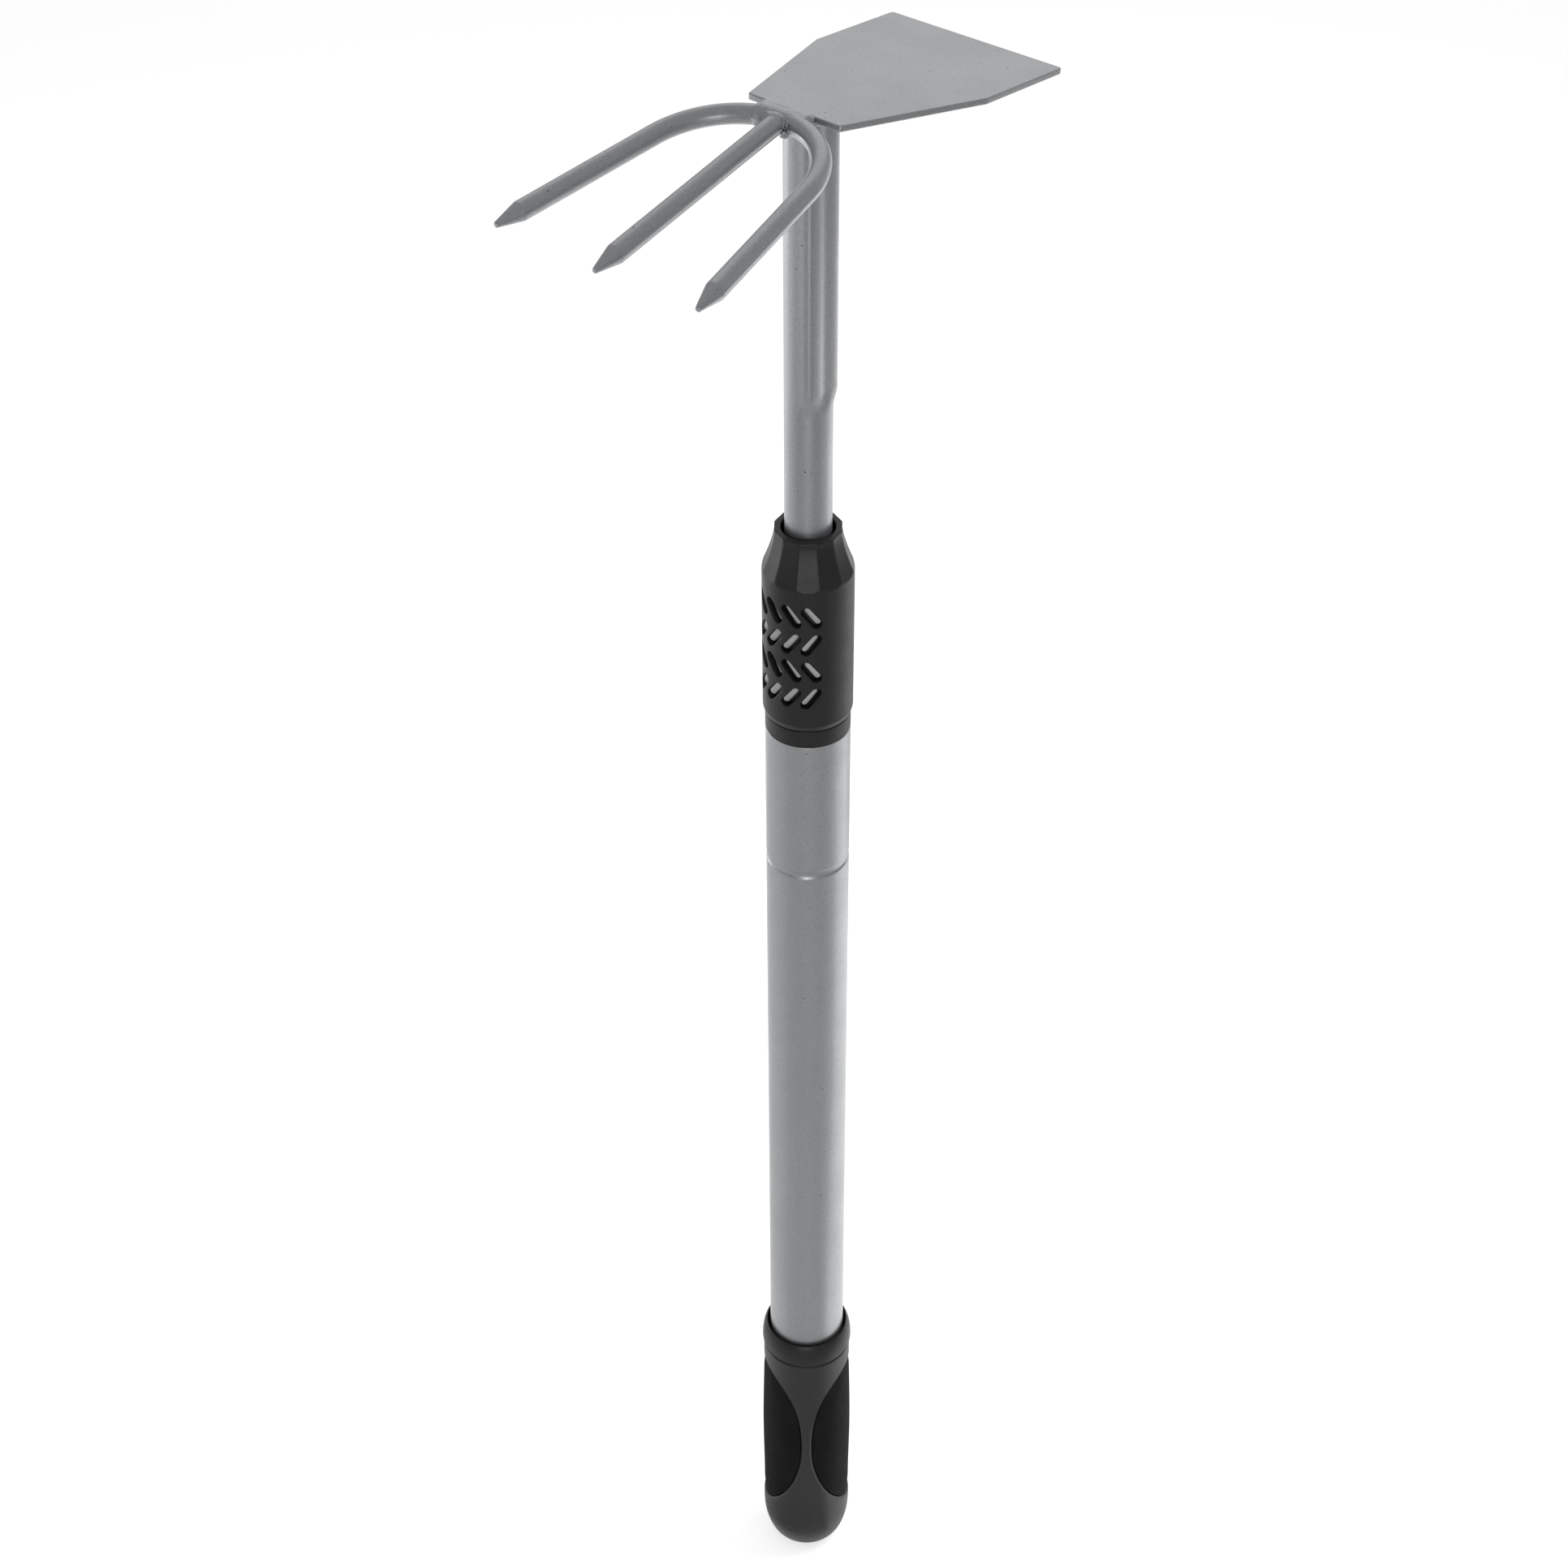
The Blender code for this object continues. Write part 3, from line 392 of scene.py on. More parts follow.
def rounded(points, radii, steps=4, closed=True):
    """Polyline with rounded corners; radii is one radius or one for each point."""
    count = len(points)
    if not isinstance(radii, list):
        radii = [radii] * count
    result = []
    for i, point in enumerate(points):
        radius = radii[i]
        if radius == 0 or (not closed and i in (0, count - 1)):
            result.append(tuple(point))
            continue
        corner = Vector(point)
        before = Vector(points[i - 1]) - corner
        after = Vector(points[(i + 1) % count]) - corner
        angle = before.angle(after)
        reach = radius / math.tan(angle / 2)
        reach = min(reach, 0.48 * before.length, 0.48 * after.length)
        start = corner + before.normalized() * reach
        end = corner + after.normalized() * reach
        for k in range(steps + 1):
            share = k / steps
            spot = (1 - share) ** 2 * start + 2 * share * (1 - share) * corner + share ** 2 * end
            result.append(tuple(spot))
    return result


def polar(radius, angle, height):
    """Point at a radius and an angle round the Z axis."""
    return (radius * math.cos(angle), radius * math.sin(angle), height)


def eased(share):
    """Smooth step between 0 and 1."""
    share = min(max(share, 0.0), 1.0)
    return share * share * (3 - 2 * share)


def soft_least(values, blend):
    """Smallest of several lengths, with a rounded transition between them."""
    least = min(values)
    total = sum(math.exp((least - value) / blend) for value in values)
    return least - blend * math.log(total)


def lathe(name, outline, sides, materials, bend=None):
    """Turned piece. The outline is (radius, height); bend may change the radius at an angle."""
    points = []
    rings = []
    for radius, height in outline:
        if radius < 1e-9:
            rings.append([len(points)] * sides)
            points.append((0.0, 0.0, height))
            continue
        rings.append(list(range(len(points), len(points) + sides)))
        for k in range(sides):
            angle = 2 * math.pi * k / sides
            reach = bend(radius, angle, height) if bend else radius
            points.append(polar(reach, angle, height))
    faces = []
    pairs = list(zip(rings, rings[1:]))
    if outline[0][0] > 1e-9:
        pairs.append((rings[-1], rings[0]))
    for upper, lower in pairs:
        for k in range(sides):
            n = (k + 1) % sides
            face = list(dict.fromkeys((upper[k], lower[k], lower[n], upper[n])))
            if len(face) > 2:
                faces.append(face)
    return add_mesh(name, points, faces, materials)


def sweep(name, path, radii, sides, materials):
    """Round rod along a path, closed at both ends."""
    spots = [Vector(point) for point in path]
    side = Vector((0.0, 0.0, 1.0))
    points = []
    for i, spot in enumerate(spots):
        ahead = spots[min(i + 1, len(spots) - 1)] - spots[max(i - 1, 0)]
        ahead.normalize()
        side = (side - ahead * side.dot(ahead)).normalized()
        other = ahead.cross(side)
        for k in range(sides):
            angle = 2 * math.pi * k / sides
            points.append(spot + radii[i] * (math.cos(angle) * side + math.sin(angle) * other))
    faces = []
    for i in range(len(spots) - 1):
        for k in range(sides):
            n = (k + 1) % sides
            low = i * sides
            faces.append((low + k, low + n, low + sides + n, low + sides + k))
    faces.append(tuple(range(sides)))
    last = (len(spots) - 1) * sides
    faces.append(tuple(last + k for k in reversed(range(sides))))
    return add_mesh(name, points, faces, materials, math.radians(50))


def finish_piece(piece, body, slot, *nodes):
    """Let a piece ride on a body and stand for its nodes, which are hidden; slot is not used."""
    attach(piece, body)
    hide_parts(*nodes)


# Cut-outs with rounded rims

def offset_outline(outline, amount):
    """Closed outline moved outwards; the points run anticlockwise."""
    count = len(outline)
    moved = []
    for i in range(count):
        before = Vector(outline[i]) - Vector(outline[i - 1])
        after = Vector(outline[(i + 1) % count]) - Vector(outline[i])
        direction = (before.normalized() + after.normalized()).normalized()
        normal = Vector((direction.y, -direction.x))
        moved.append(tuple(Vector(outline[i]) + normal * amount))
    return moved


def join_rings(shape, rings, capped=True):
    """Add the faces between rings of points, and flat caps at both ends."""
    for lower, upper in zip(rings, rings[1:]):
        for i in range(len(lower)):
            n = (i + 1) % len(lower)
            shape.faces.new((lower[i], lower[n], upper[n], upper[i]))
    if capped:
        shape.faces.new(rings[0][::-1])
        shape.faces.new(rings[-1])


def wrapped_rings(shape, outline, levels, radius, azimuth=0.0):
    """Rings of an outline, wrapped round the axis; levels are (reach, offset) from inside out."""
    rings = []
    for reach, amount in levels:
        spots = offset_outline(outline, amount)
        rings.append([shape.verts.new(polar(reach, azimuth + x / radius, z)) for x, z in spots])
    return rings


def rim_levels(inside, surface, rim, outside, steep=90, flat=0, steps=4):
    """Levels of a cutter whose rim is an arc, from a steep to a flat slope in degrees."""
    steep, flat = math.radians(steep), math.radians(flat)
    levels = [(inside, 0.0)]
    for k in range(steps + 1):
        slope = steep + (flat - steep) * k / steps
        drop = rim * (math.cos(flat) - math.cos(slope))
        levels.append((surface - drop, rim * (math.sin(steep) - math.sin(slope))))
    levels.append((outside, levels[-1][1]))
    return levels


def mesh_from(shape, name):
    """Object from a bmesh, with outward normals."""
    bmesh.ops.recalc_face_normals(shape, faces=shape.faces)
    mesh = bpy.data.meshes.new(name)
    shape.to_mesh(mesh)
    shape.free()
    return add_object(name, mesh)


def cut(piece, cutter):
    """Subtract the cutter from a piece and throw the cutter away."""
    modifier = piece.modifiers.new("cut", "BOOLEAN")
    modifier.operation = "DIFFERENCE"
    modifier.solver = "EXACT"
    modifier.object = cutter
    apply_modifiers(piece)
    bpy.data.objects.remove(cutter)
    piece.data.shade_smooth()
    piece.data.set_sharp_from_angle(angle=math.radians(38))


def slot_outline(length, width, slant, along, height, steps=7):
    """Slanted slot with round ends, as points on the unrolled surface."""
    straight = (length - width) / 2
    outline = []
    for side in (1, -1):
        for i in range(steps + 1):
            angle = math.pi * i / steps
            x = side * width / 2 * math.cos(angle)
            y = side * (straight + width / 2 * math.sin(angle))
            turned_x = x * math.cos(slant) - y * math.sin(slant)
            turned_y = x * math.sin(slant) + y * math.cos(slant)
            outline.append((along + turned_x, height + turned_y))
    return outline


def slot_places():
    """Each cut-out of the collar: where it lies along the surface, its height and its slant."""
    places = []
    for group in range(2):
        for row in range(4):
            for column in range(4):
                azimuth = SLOT_GROUP_AZIMUTH + math.pi * group + SLOT_STEP * (column - 1.5)
                height = COLLAR_BOTTOM + SLOT_BASE + SLOT_RISE * row
                slant = SLOT_SLANT if row % 2 else -SLOT_SLANT
                places.append((azimuth * COLLAR_RADIUS, height, slant))
    return places


# Head

def blade_spot(along, across, above):
    """Point on the blade: along from its back edge, across, and above its top face."""
    x = BLADE_BACK + along * math.cos(BLADE_TILT) + above * math.sin(BLADE_TILT)
    z = BLADE_TOP - along * math.sin(BLADE_TILT) + above * math.cos(BLADE_TILT)
    return (x, across, z)


def blade_underside(x):
    """Height of the blade's lower face."""
    fall = (x - BLADE_BACK) * math.tan(BLADE_TILT)
    return BLADE_TOP - BLADE_THICKNESS / math.cos(BLADE_TILT) - fall


def hoe_blade():
    """Six-cornered plate with small round corners and softened edges."""
    corners = BLADE_CORNERS + [(x, -y) for x, y in reversed(BLADE_CORNERS)]
    outline = rounded(corners, BLADE_CORNER, 6)
    top = []
    for k in range(5):
        angle = math.pi / 2 * k / 4
        top.append((-BLADE_EDGE * (1 - math.sin(angle)), -BLADE_EDGE * (1 - math.cos(angle))))
    bottom = [(-BLADE_THICKNESS - above, amount) for above, amount in reversed(top)]
    shape = bmesh.new()
    rings = []
    for above, amount in bottom + top:
        spots = offset_outline(outline, amount)
        rings.append([shape.verts.new(blade_spot(x, y, above)) for x, y in spots])
    join_rings(shape, rings)
    piece = mesh_from(shape, "hoe_plate")
    piece.data.materials.append(PAINT)
    piece.data.shade_smooth()
    even_normals(piece)
    finish_piece(piece, "head", "silver_paint", "hoe_blade")


def tip_profile():
    """Distance from the tip and radius along a pointed rod end, from the point inwards."""
    cone = [(0.0, 0.0001), (0.0, TIP_RADIUS)]
    cone += [(TIP_LENGTH, ROD_RADIUS), (TIP_LENGTH + 0.004, ROD_RADIUS)]
    return rounded(cone, [0.0, 0.0005, 0.0022, 0.0], 5, closed=False)


def rod_with_tips(path, tips):
    """Path and radii of a rod, pointed at its first end and, if tips is 2, at its last end."""
    spots = [Vector(point) for point in path]
    profile = tip_profile()

    def pointed(end, towards):
        direction = (towards - end).normalized()
        return [(end + direction * distance, radius) for distance, radius in profile]

    start = pointed(spots[0], spots[1])
    middle = [(spot, ROD_RADIUS) for spot in spots[1:-1]]
    if tips == 2:
        finish = pointed(spots[-1], spots[-2])[::-1]
    else:
        finish = [(spots[-1], ROD_RADIUS)]
    stations = start + middle + finish
    return [spot for spot, radius in stations], [radius for spot, radius in stations]


def u_rod_spot(angle):
    """Point on the bend of the U rod, at an angle from straight back."""
    side = 1 if angle >= 0 else -1
    x = ROD_BACK - BEND_RADIUS + BEND_RADIUS * math.cos(angle)
    y = side * BACK_STRAIGHT / 2 + BEND_RADIUS * math.sin(angle)
    return Vector((x, y, ROD_HEIGHT + (x - ROD_BACK) * math.tan(OUTER_TINE_FALL)))


def u_rod_path():
    """The U rod from one tip to the other."""
    sweep_angle = math.pi / 2 - SPLAY
    bend = [u_rod_spot(sweep_angle * i / 34) for i in range(-34, 35)]
    leg = bend[-1]
    run = leg.x + TINE_REACH
    fall = run * math.tan(OUTER_TINE_FALL)
    tip = Vector((-TINE_REACH, leg.y + run * math.tan(SPLAY), leg.z - fall))
    other = Vector((tip.x, -tip.y, tip.z))
    return [other] + bend + [tip]


def tine_spot(x):
    """Point on the axis of the centre tine."""
    slope = (x - ROD_BACK) * math.tan(CENTRE_TINE_FALL)
    return Vector((x, 0.0, ROD_HEIGHT + CENTRE_TINE_RISE + slope))


def tines():
    """The bent rod of the outer tines and the straight centre tine."""
    path, radii = rod_with_tips(u_rod_path(), 2)
    outer = sweep("outer_tine_rod", path, radii, 40, [PAINT])
    even_normals(outer)
    finish_piece(outer, "head", "silver_paint", "outer_tines")
    path = [tine_spot(x) for x in (-TINE_REACH, -0.03, CENTRE_TINE_ROOT)]
    path, radii = rod_with_tips(path, 1)
    centre = sweep("centre_tine_rod", path, radii, 40, [PAINT])
    even_normals(centre)
    finish_piece(centre, "head", "silver_paint", "centre_tine")


def rod_blobs():
    """Weld metal over the U rod, which ends on the left in a swollen ring."""
    blobs = []
    for i in range(63):
        turn = -14 + 0.5 * i
        taper = eased((turn + 14) / 6) * eased((17 - turn) / 1.2)
        ring = 0.0007 * math.exp(-((turn - 14.6) / 1.6) ** 2)
        radius = ROD_RADIUS - 0.0002 + 0.00032 * taper + ring * taper
        blobs.append((u_rod_spot(math.radians(turn)), (radius, radius, radius)))
    return blobs


def crest_blobs():
    """Weld metal that flattens the top of the U rod beside the blade."""
    blobs = []
    for i in range(49):
        turn = -9 + 0.5 * i
        fade = eased((turn + 9) / 7) * eased((15 - turn) / 3)
        spot = u_rod_spot(math.radians(turn))
        size = (0.0016 + 0.0015 * fade, 0.0009, 0.0012 + 0.0008 * fade)
        blobs.append(((spot.x + 0.0004, spot.y, spot.z + 0.0013), size))
    return blobs


def bridge_blobs():
    """Weld metal between the U rod and the blade, which laps over the blade's edge."""
    blobs = []
    for i in range(61):
        y = 0.0104 - 0.0003 * i
        fade = eased(0.35 + i / 7) * eased(0.35 + (60 - i) / 5)
        wave = 0.00012 * noise.noise(Vector((i * 0.075, 0.0, 2.0)))
        ridge = 0.0005 * math.exp(-((y - 0.0030) / 0.0040) ** 2)
        reach = 0.0029 + 0.0008 * i / 60 + 1.5 * wave
        blobs.append(((-0.0087, y, 0.6289), (reach * fade, 0.0009, (0.0019 + ridge + wave) * fade)))
    return blobs


def tine_root_blobs():
    """Weld metal round the end of the centre tine, with a small pit and drops at its side."""
    return [
        ((-0.0152, 0.0003, 0.6286), (0.0028, 0.0028, 0.0028)),
        ((-0.0146, 0.0008, 0.6290), (0.0026, 0.0028, 0.0028)),
        ((-0.0138, 0.0012, 0.6288), (0.0020, 0.0028, 0.0025)),
        ((-0.0128, 0.0034, 0.6285), (0.0020, 0.0020, 0.0021)),
        ((-0.0138, 0.0036, 0.6270), (0.0014, 0.0014, 0.0016)),
        ((-0.0141, -0.0026, 0.6285), (0.0011, 0.0011, 0.0010)),
        ((-0.0138, -0.0036, 0.6274), (0.0007, 0.0007, 0.0007)),
        ((-0.0137, -0.0022, 0.6263), (0.0011, 0.0011, 0.0011)),
        ((-0.0128, -0.0016, 0.6251), (0.0016, 0.0016, 0.0013)),
        ((-0.0078, -0.0078, 0.6298), (0.0007, 0.0007, 0.0006)),
    ]


def tube_blobs():
    """Bead between the tube and the underside of the blade, and against the U rod."""
    blobs = []
    for i in range(54):
        angle = math.radians(-178 + 6.6 * i)
        reach = STEM_RADIUS + groove_rise(angle, BLADE_TOP - 0.003) + 0.0004
        x = reach * math.cos(angle)
        ripple = 0.00012 * math.sin(i * 1.7) + 0.00008 * math.sin(i * 0.63)
        height = blade_underside(x) - 0.0005
        size = 0.00115 + ripple
        blobs.append(((x, reach * math.sin(angle), height), (size, size, size)))
    blobs.append(((-0.0083, 0.0, 0.6262), (0.0013, 0.0042, 0.0016)))
    return blobs


def ball():
    """Points and faces of a unit ball."""
    shape = bmesh.new()
    bmesh.ops.create_icosphere(shape, subdivisions=2, radius=1.0)
    points = [vertex.co.copy() for vertex in shape.verts]
    faces = [tuple(vertex.index for vertex in face.verts) for face in shape.faces]
    shape.free()
    return points, faces


def welds():
    """Weld metal of the head, run together into one smooth skin."""
    ball_points, ball_faces = ball()
    points = []
    faces = []
    blobs = rod_blobs() + crest_blobs() + bridge_blobs() + tine_root_blobs() + tube_blobs()
    for centre, size in blobs:
        first = len(points)
        for point in ball_points:
            points.append([centre[k] + point[k] * size[k] for k in range(3)])
        faces += [[first + i for i in face] for face in ball_faces]
    mesh = bpy.data.meshes.new("head_welds")
    mesh.from_pydata(points, [], faces)
    piece = add_object("head_welds", mesh)
    remesh = piece.modifiers.new("remesh", "REMESH")
    remesh.mode = "VOXEL"
    remesh.voxel_size = 0.00024
    relax = piece.modifiers.new("relax", "SMOOTH")
    relax.factor = 0.5
    relax.iterations = 6
    apply_modifiers(piece)
    normals = [vertex.normal.copy() for vertex in piece.data.vertices]
    for vertex, normal in zip(piece.data.vertices, normals):
        swirl = noise.noise(vertex.co * 800.0) * 0.00003 + noise.noise(vertex.co * 300.0) * 0.00007
        vertex.co += normal * swirl
    piece.data.shade_smooth()
    piece.data.materials.append(PAINT)
    finish_piece(piece, "head", "silver_paint", "rod_weld", "tine_weld", "tube_weld")


def groove_rise(angle, height):
    """How far the groove of the upper tube and its shoulders move the wall outwards."""
    turn = abs((angle - GROOVE_AZIMUTH + math.pi) % (2 * math.pi) - math.pi)
    shoulder = SHOULDER_RISE * math.exp(-((turn - SHOULDER_TURN) / SHOULDER_SPREAD) ** 2)
    aside = STEM_RADIUS * math.sin(min(turn, math.pi / 2)) / (GROOVE_WIDTH / 2)
    valley = (1 + math.cos(math.pi * min(aside, 1.0))) / 2
    inside = min(height - GROOVE_BOTTOM, GROOVE_TOP - height)
    return (shoulder - GROOVE_DEPTH * valley) * eased(inside / GROOVE_RUNOUT)


def upper_tube():
    """Upper tube with its pressed groove, cut to the blade's slope."""
    top = blade_underside(0.0) - GAP
    steps = [GROOVE_RUNOUT * (1.15 - 0.05 * i) for i in range(26)]
    heights = [top, 0.62, 0.57] + [GROOVE_BOTTOM + step for step in steps]
    heights += [0.50, 0.45, 0.30, 0.15, 0.0150, 0.0141]
    outer = [(STEM_RADIUS, z) for z in heights]
    outer[-1] = (STEM_RADIUS - 0.0003, heights[-1])
    inner = [(STEM_BORE, z) for z in reversed(heights)]

    def bend(radius, angle, height):
        return radius + groove_rise(angle, height)

    piece = lathe("upper_tube_skin", outer + inner, 160, [PAINT], bend)
    for vertex in piece.data.vertices:
        if vertex.co.z > top - 0.0001:
            vertex.co.z = blade_underside(vertex.co.x) - GAP
    piece.data.update()
    finish_piece(piece, "head", "silver_paint", "upper_tube")


# Twist lock

def facet_radius(radius, angle, height):
    """Radius of the collar with its twelve facets, which run out on the cylinder."""
    if radius < COLLAR_MOUTH + GAP or height < COLLAR_SHOULDER - 0.0005:
        return radius
    if radius < flare_radius(height) - 0.0004 and height < COLLAR_TOP - 0.002:
        return radius
    sector = 2 * math.pi / COLLAR_FACETS
    turn = (angle - COLLAR_AZIMUTH + sector / 2) % sector - sector / 2
    planes = [radius / math.cos(turn), radius / math.cos(sector - abs(turn))]
    return soft_least(planes + [COLLAR_RADIUS + 0.00006], 0.00007)


def flare_radius(height):
    """Outer radius of the collar between its rim and its shoulder."""
    share = min(max((FLARE_TOP - height) / (FLARE_TOP - COLLAR_SHOULDER), 0.0), 1.0)
    return COLLAR_NECK + (COLLAR_RADIUS - COLLAR_NECK) * share ** FLARE_POWER


def collar_flare(steps):
    """Outer profile of the collar from its rim down to its shoulder."""
    fall = COLLAR_SHOULDER - FLARE_TOP
    heights = [FLARE_TOP + fall * i / steps for i in range(steps + 1)]
    return [(flare_radius(height), height) for height in heights]


def collar():
    """Black twist collar with a faceted neck and cut-outs with rounded rims."""
    rim = [(COLLAR_MOUTH, COLLAR_TOP - 0.002), (COLLAR_MOUTH, COLLAR_TOP)]
    rim += [(COLLAR_NECK, COLLAR_TOP), (COLLAR_NECK, COLLAR_TOP - 0.0014)]
    rim = rounded(rim, [0.0, 0.0004, 0.0003, 0.0], 4, closed=False)
    foot = [(COLLAR_RADIUS, 0.0045), (COLLAR_RADIUS, 0.002), (0.0141, 0.0), (COLLAR_BORE, 0.0)]
    foot = [(radius, COLLAR_BOTTOM + rise) for radius, rise in foot + [(COLLAR_BORE, 0.0025)]]
    foot = rounded(foot, [0.0, 0.002, 0.0004, 0.0003, 0.0], 4, closed=False)
    wall = [(COLLAR_RADIUS, COLLAR_SHOULDER - 0.0004 - 0.0066 * i) for i in range(7)]
    inner = [(COLLAR_BORE, COLLAR_SHOULDER), (COLLAR_MOUTH, COLLAR_TOP - 0.007)]
    outline = rim + collar_flare(34) + wall + foot + inner
    shell = lathe("collar_skin", outline, 288, [PLASTIC], facet_radius)
    shape = bmesh.new()
    levels = rim_levels(COLLAR_BORE - 0.0005, COLLAR_RADIUS, SLOT_RIM, COLLAR_RADIUS + 0.001)
    for along, height, slant in slot_places():
        outline = slot_outline(SLOT_LENGTH, SLOT_WIDTH, slant, along, height)
        join_rings(shape, wrapped_rings(shape, outline, levels, COLLAR_RADIUS))
    cut(shell, mesh_from(shape, "slots"))
    even_normals(shell)
    finish_piece(shell, "collar", "black_plastic", "collar_shell")


def lock_nut():
    """Dark sleeve in the collar with a light sloping bar in each cut-out."""
    top = COLLAR_SHOULDER - GAP
    bottom = COLLAR_BOTTOM + GAP
    corners = [(SLEEVE_RADIUS, top), (SLEEVE_RADIUS, bottom)]
    corners += [(SLEEVE_BORE, bottom), (SLEEVE_BORE, top)]
    sleeve = lathe("nut_sleeve", rounded(corners, 0.0002, 2), 96, [LIGHT_PLASTIC, PLASTIC])
    for face in sleeve.data.polygons:
        face.material_index = 1
    shape = bmesh.new()
    shape.from_mesh(sleeve.data)
    first = len(shape.faces)
    for along, height, slant in slot_places():
        add_bar_in_slot(shape, along, height, slant)
    shape.faces.ensure_lookup_table()
    for face in shape.faces[first:]:
        face.material_index = 0
        face.smooth = True
    bmesh.ops.recalc_face_normals(shape, faces=shape.faces)
    shape.to_mesh(sleeve.data)
    shape.free()
    sleeve.data.set_sharp_from_angle(angle=math.radians(40))
    finish_piece(sleeve, "collar", "light_plastic", "lock_nut")


def add_bar_in_slot(shape, along, height, slant):
    """Add the light bar that fills the upper part of a cut-out and slopes inwards below."""
    side = 1 if slant > 0 else -1
    shift = 0.00055
    x = along + side * shift * math.cos(slant)
    y = height + side * shift * math.sin(slant)
    outline = slot_outline(SLOT_LENGTH - 0.0016, SLOT_WIDTH - 0.0013, slant, x, y, 6)
    rings = []
    for reach, amount in ((0.0122, 0.0), (0.01385, 0.0), (0.01405, -0.00008), (0.01415, -0.00025)):
        ring = []
        for spot_along, spot_height in offset_outline(outline, amount):
            across = (spot_along - x) * math.cos(slant) + (spot_height - y) * math.sin(slant)
            drop = 0.0 if reach < 0.013 else 0.00045 * (across * side / 0.0011 - 1.0)
            spot = polar(reach + drop, spot_along / COLLAR_RADIUS, spot_height)
            ring.append(shape.verts.new(spot))
        rings.append(ring)
    join_rings(shape, rings)


def lock_body():
    """Black insert in the lower tube, seen as the ring under the collar."""
    rest = TUBE_TOP + GAP
    low = ROLL_HEIGHT - 0.0008
    high = ROLL_HEIGHT + 0.0008
    points = [(0.0111, 0.4520), (0.0111, 0.4192), (0.0140, 0.4192), (0.0140, rest), (0.0127, rest)]
    points += [(0.0127, high + 0.0004), (0.0123, high), (0.0123, low), (0.0127, low - 0.0004)]
    points += [(0.0127, 0.3387), (0.0078, 0.3387), (0.0078, 0.4400)]
    points += [(0.0088, 0.4400), (0.0099, 0.4520)]
    radii = [0.0003, 0.0004, 0.0005, 0.0007] + [0.0001] * 5 + [0.0004, 0.0003] + [0.0002] * 3
    piece = lathe("lock_body_skin", rounded(points, radii, 4), 128, [PLASTIC])
    even_normals(piece)
    finish_piece(piece, "handle", "black_plastic", "lock_body")


# Handle

def lower_tube():
    """Painted handle tube with the rolled groove."""
    bottom = 0.0120
    groove = [(0.0, 0.0016), (ROLL_DEPTH, 0.0007), (ROLL_DEPTH, -0.0007), (0.0, -0.0016)]
    groove = [(TUBE_RADIUS - depth, ROLL_HEIGHT + rise) for depth, rise in groove]
    outer = [(TUBE_RADIUS, TUBE_TOP)] + groove + [(TUBE_RADIUS, 0.2), (TUBE_RADIUS, bottom)]
    inner = [(radius - TUBE_WALL, height) for radius, height in reversed(outer)]
    radii = [0.0004, 0.0012, 0.0008, 0.0008, 0.0012, 0.0, 0.0004]
    inner_radii = [0.0002, 0.0, 0.0008, 0.0004, 0.0004, 0.0008, 0.0002]
    piece = lathe("lower_tube_skin", rounded(outer + inner, radii + inner_radii, 5), 160, [PAINT])
    even_normals(piece)
    finish_piece(piece, "handle", "silver_paint", "lower_tube")


def grip_outline():
    """Outer profile of the grip from its top edge down to its flat end."""
    knots = [(0.0166, 0.1102), (GRIP_RADIUS, 0.06375), (0.01695, 0.031), (0.01716, 0.018)]
    side = []
    for (start, high), (end, low) in zip(knots, knots[1:]):
        for i in range(10):
            share = (1 - math.cos(math.pi * i / 10)) / 2
            side.append((start + (end - start) * share, high + (low - high) * i / 10))
    dome = []
    for i in range(17):
        angle = -math.pi / 2 * i / 16
        dome.append((0.0108 + 0.00636 * math.cos(angle), 0.018 + 0.018 * math.sin(angle)))
    groove = [(0.0156, GRIP_TOP), (0.0159, GRIP_TOP), (0.0159, 0.1139), (0.0166, 0.1133), knots[0]]
    neck = rounded(groove, [0.0, 0.0001, 0.0002, 0.0005, 0.0], 4, closed=False)
    return neck[:-1] + side + dome


def grip_radius(height):
    """Radius of the grip's outer profile at a height."""
    points = grip_outline()
    for (upper_radius, upper), (lower_radius, lower) in zip(points, points[1:]):
        if lower <= height < upper:
            share = (height - lower) / (upper - lower)
            return lower_radius + share * (upper_radius - lower_radius)
    return points[0][0]


def window_half(level):
    """Half the width of a window along the surface, for a level from -1 to 1."""
    power = 2.5 if level > 0 else 1.9
    return GRIP_RADIUS * WINDOW_HALF_ANGLE * max(1 - abs(level) ** power, 0.0) ** (1 / power)


def window_outline(steps=44):
    """Window outline on the unrolled surface, anticlockwise from its lower end."""
    levels = [-math.cos(math.pi * i / steps) for i in range(steps + 1)]
    right = [(window_half(level), WINDOW_MIDDLE + WINDOW_HALF * level) for level in levels]
    left = [(-x, y) for x, y in reversed(right[1:-1])]
    return right + left


def add_window_cutter(shape, azimuth, levels):
    """Add a cutter with a window's outline, wrapped round the grip, with curved caps."""
    rings = wrapped_rings(shape, window_outline(), levels, GRIP_RADIUS, azimuth)
    join_rings(shape, rings, capped=False)
    for ring in (rings[0], rings[-1]):
        add_curved_cap(shape, ring)


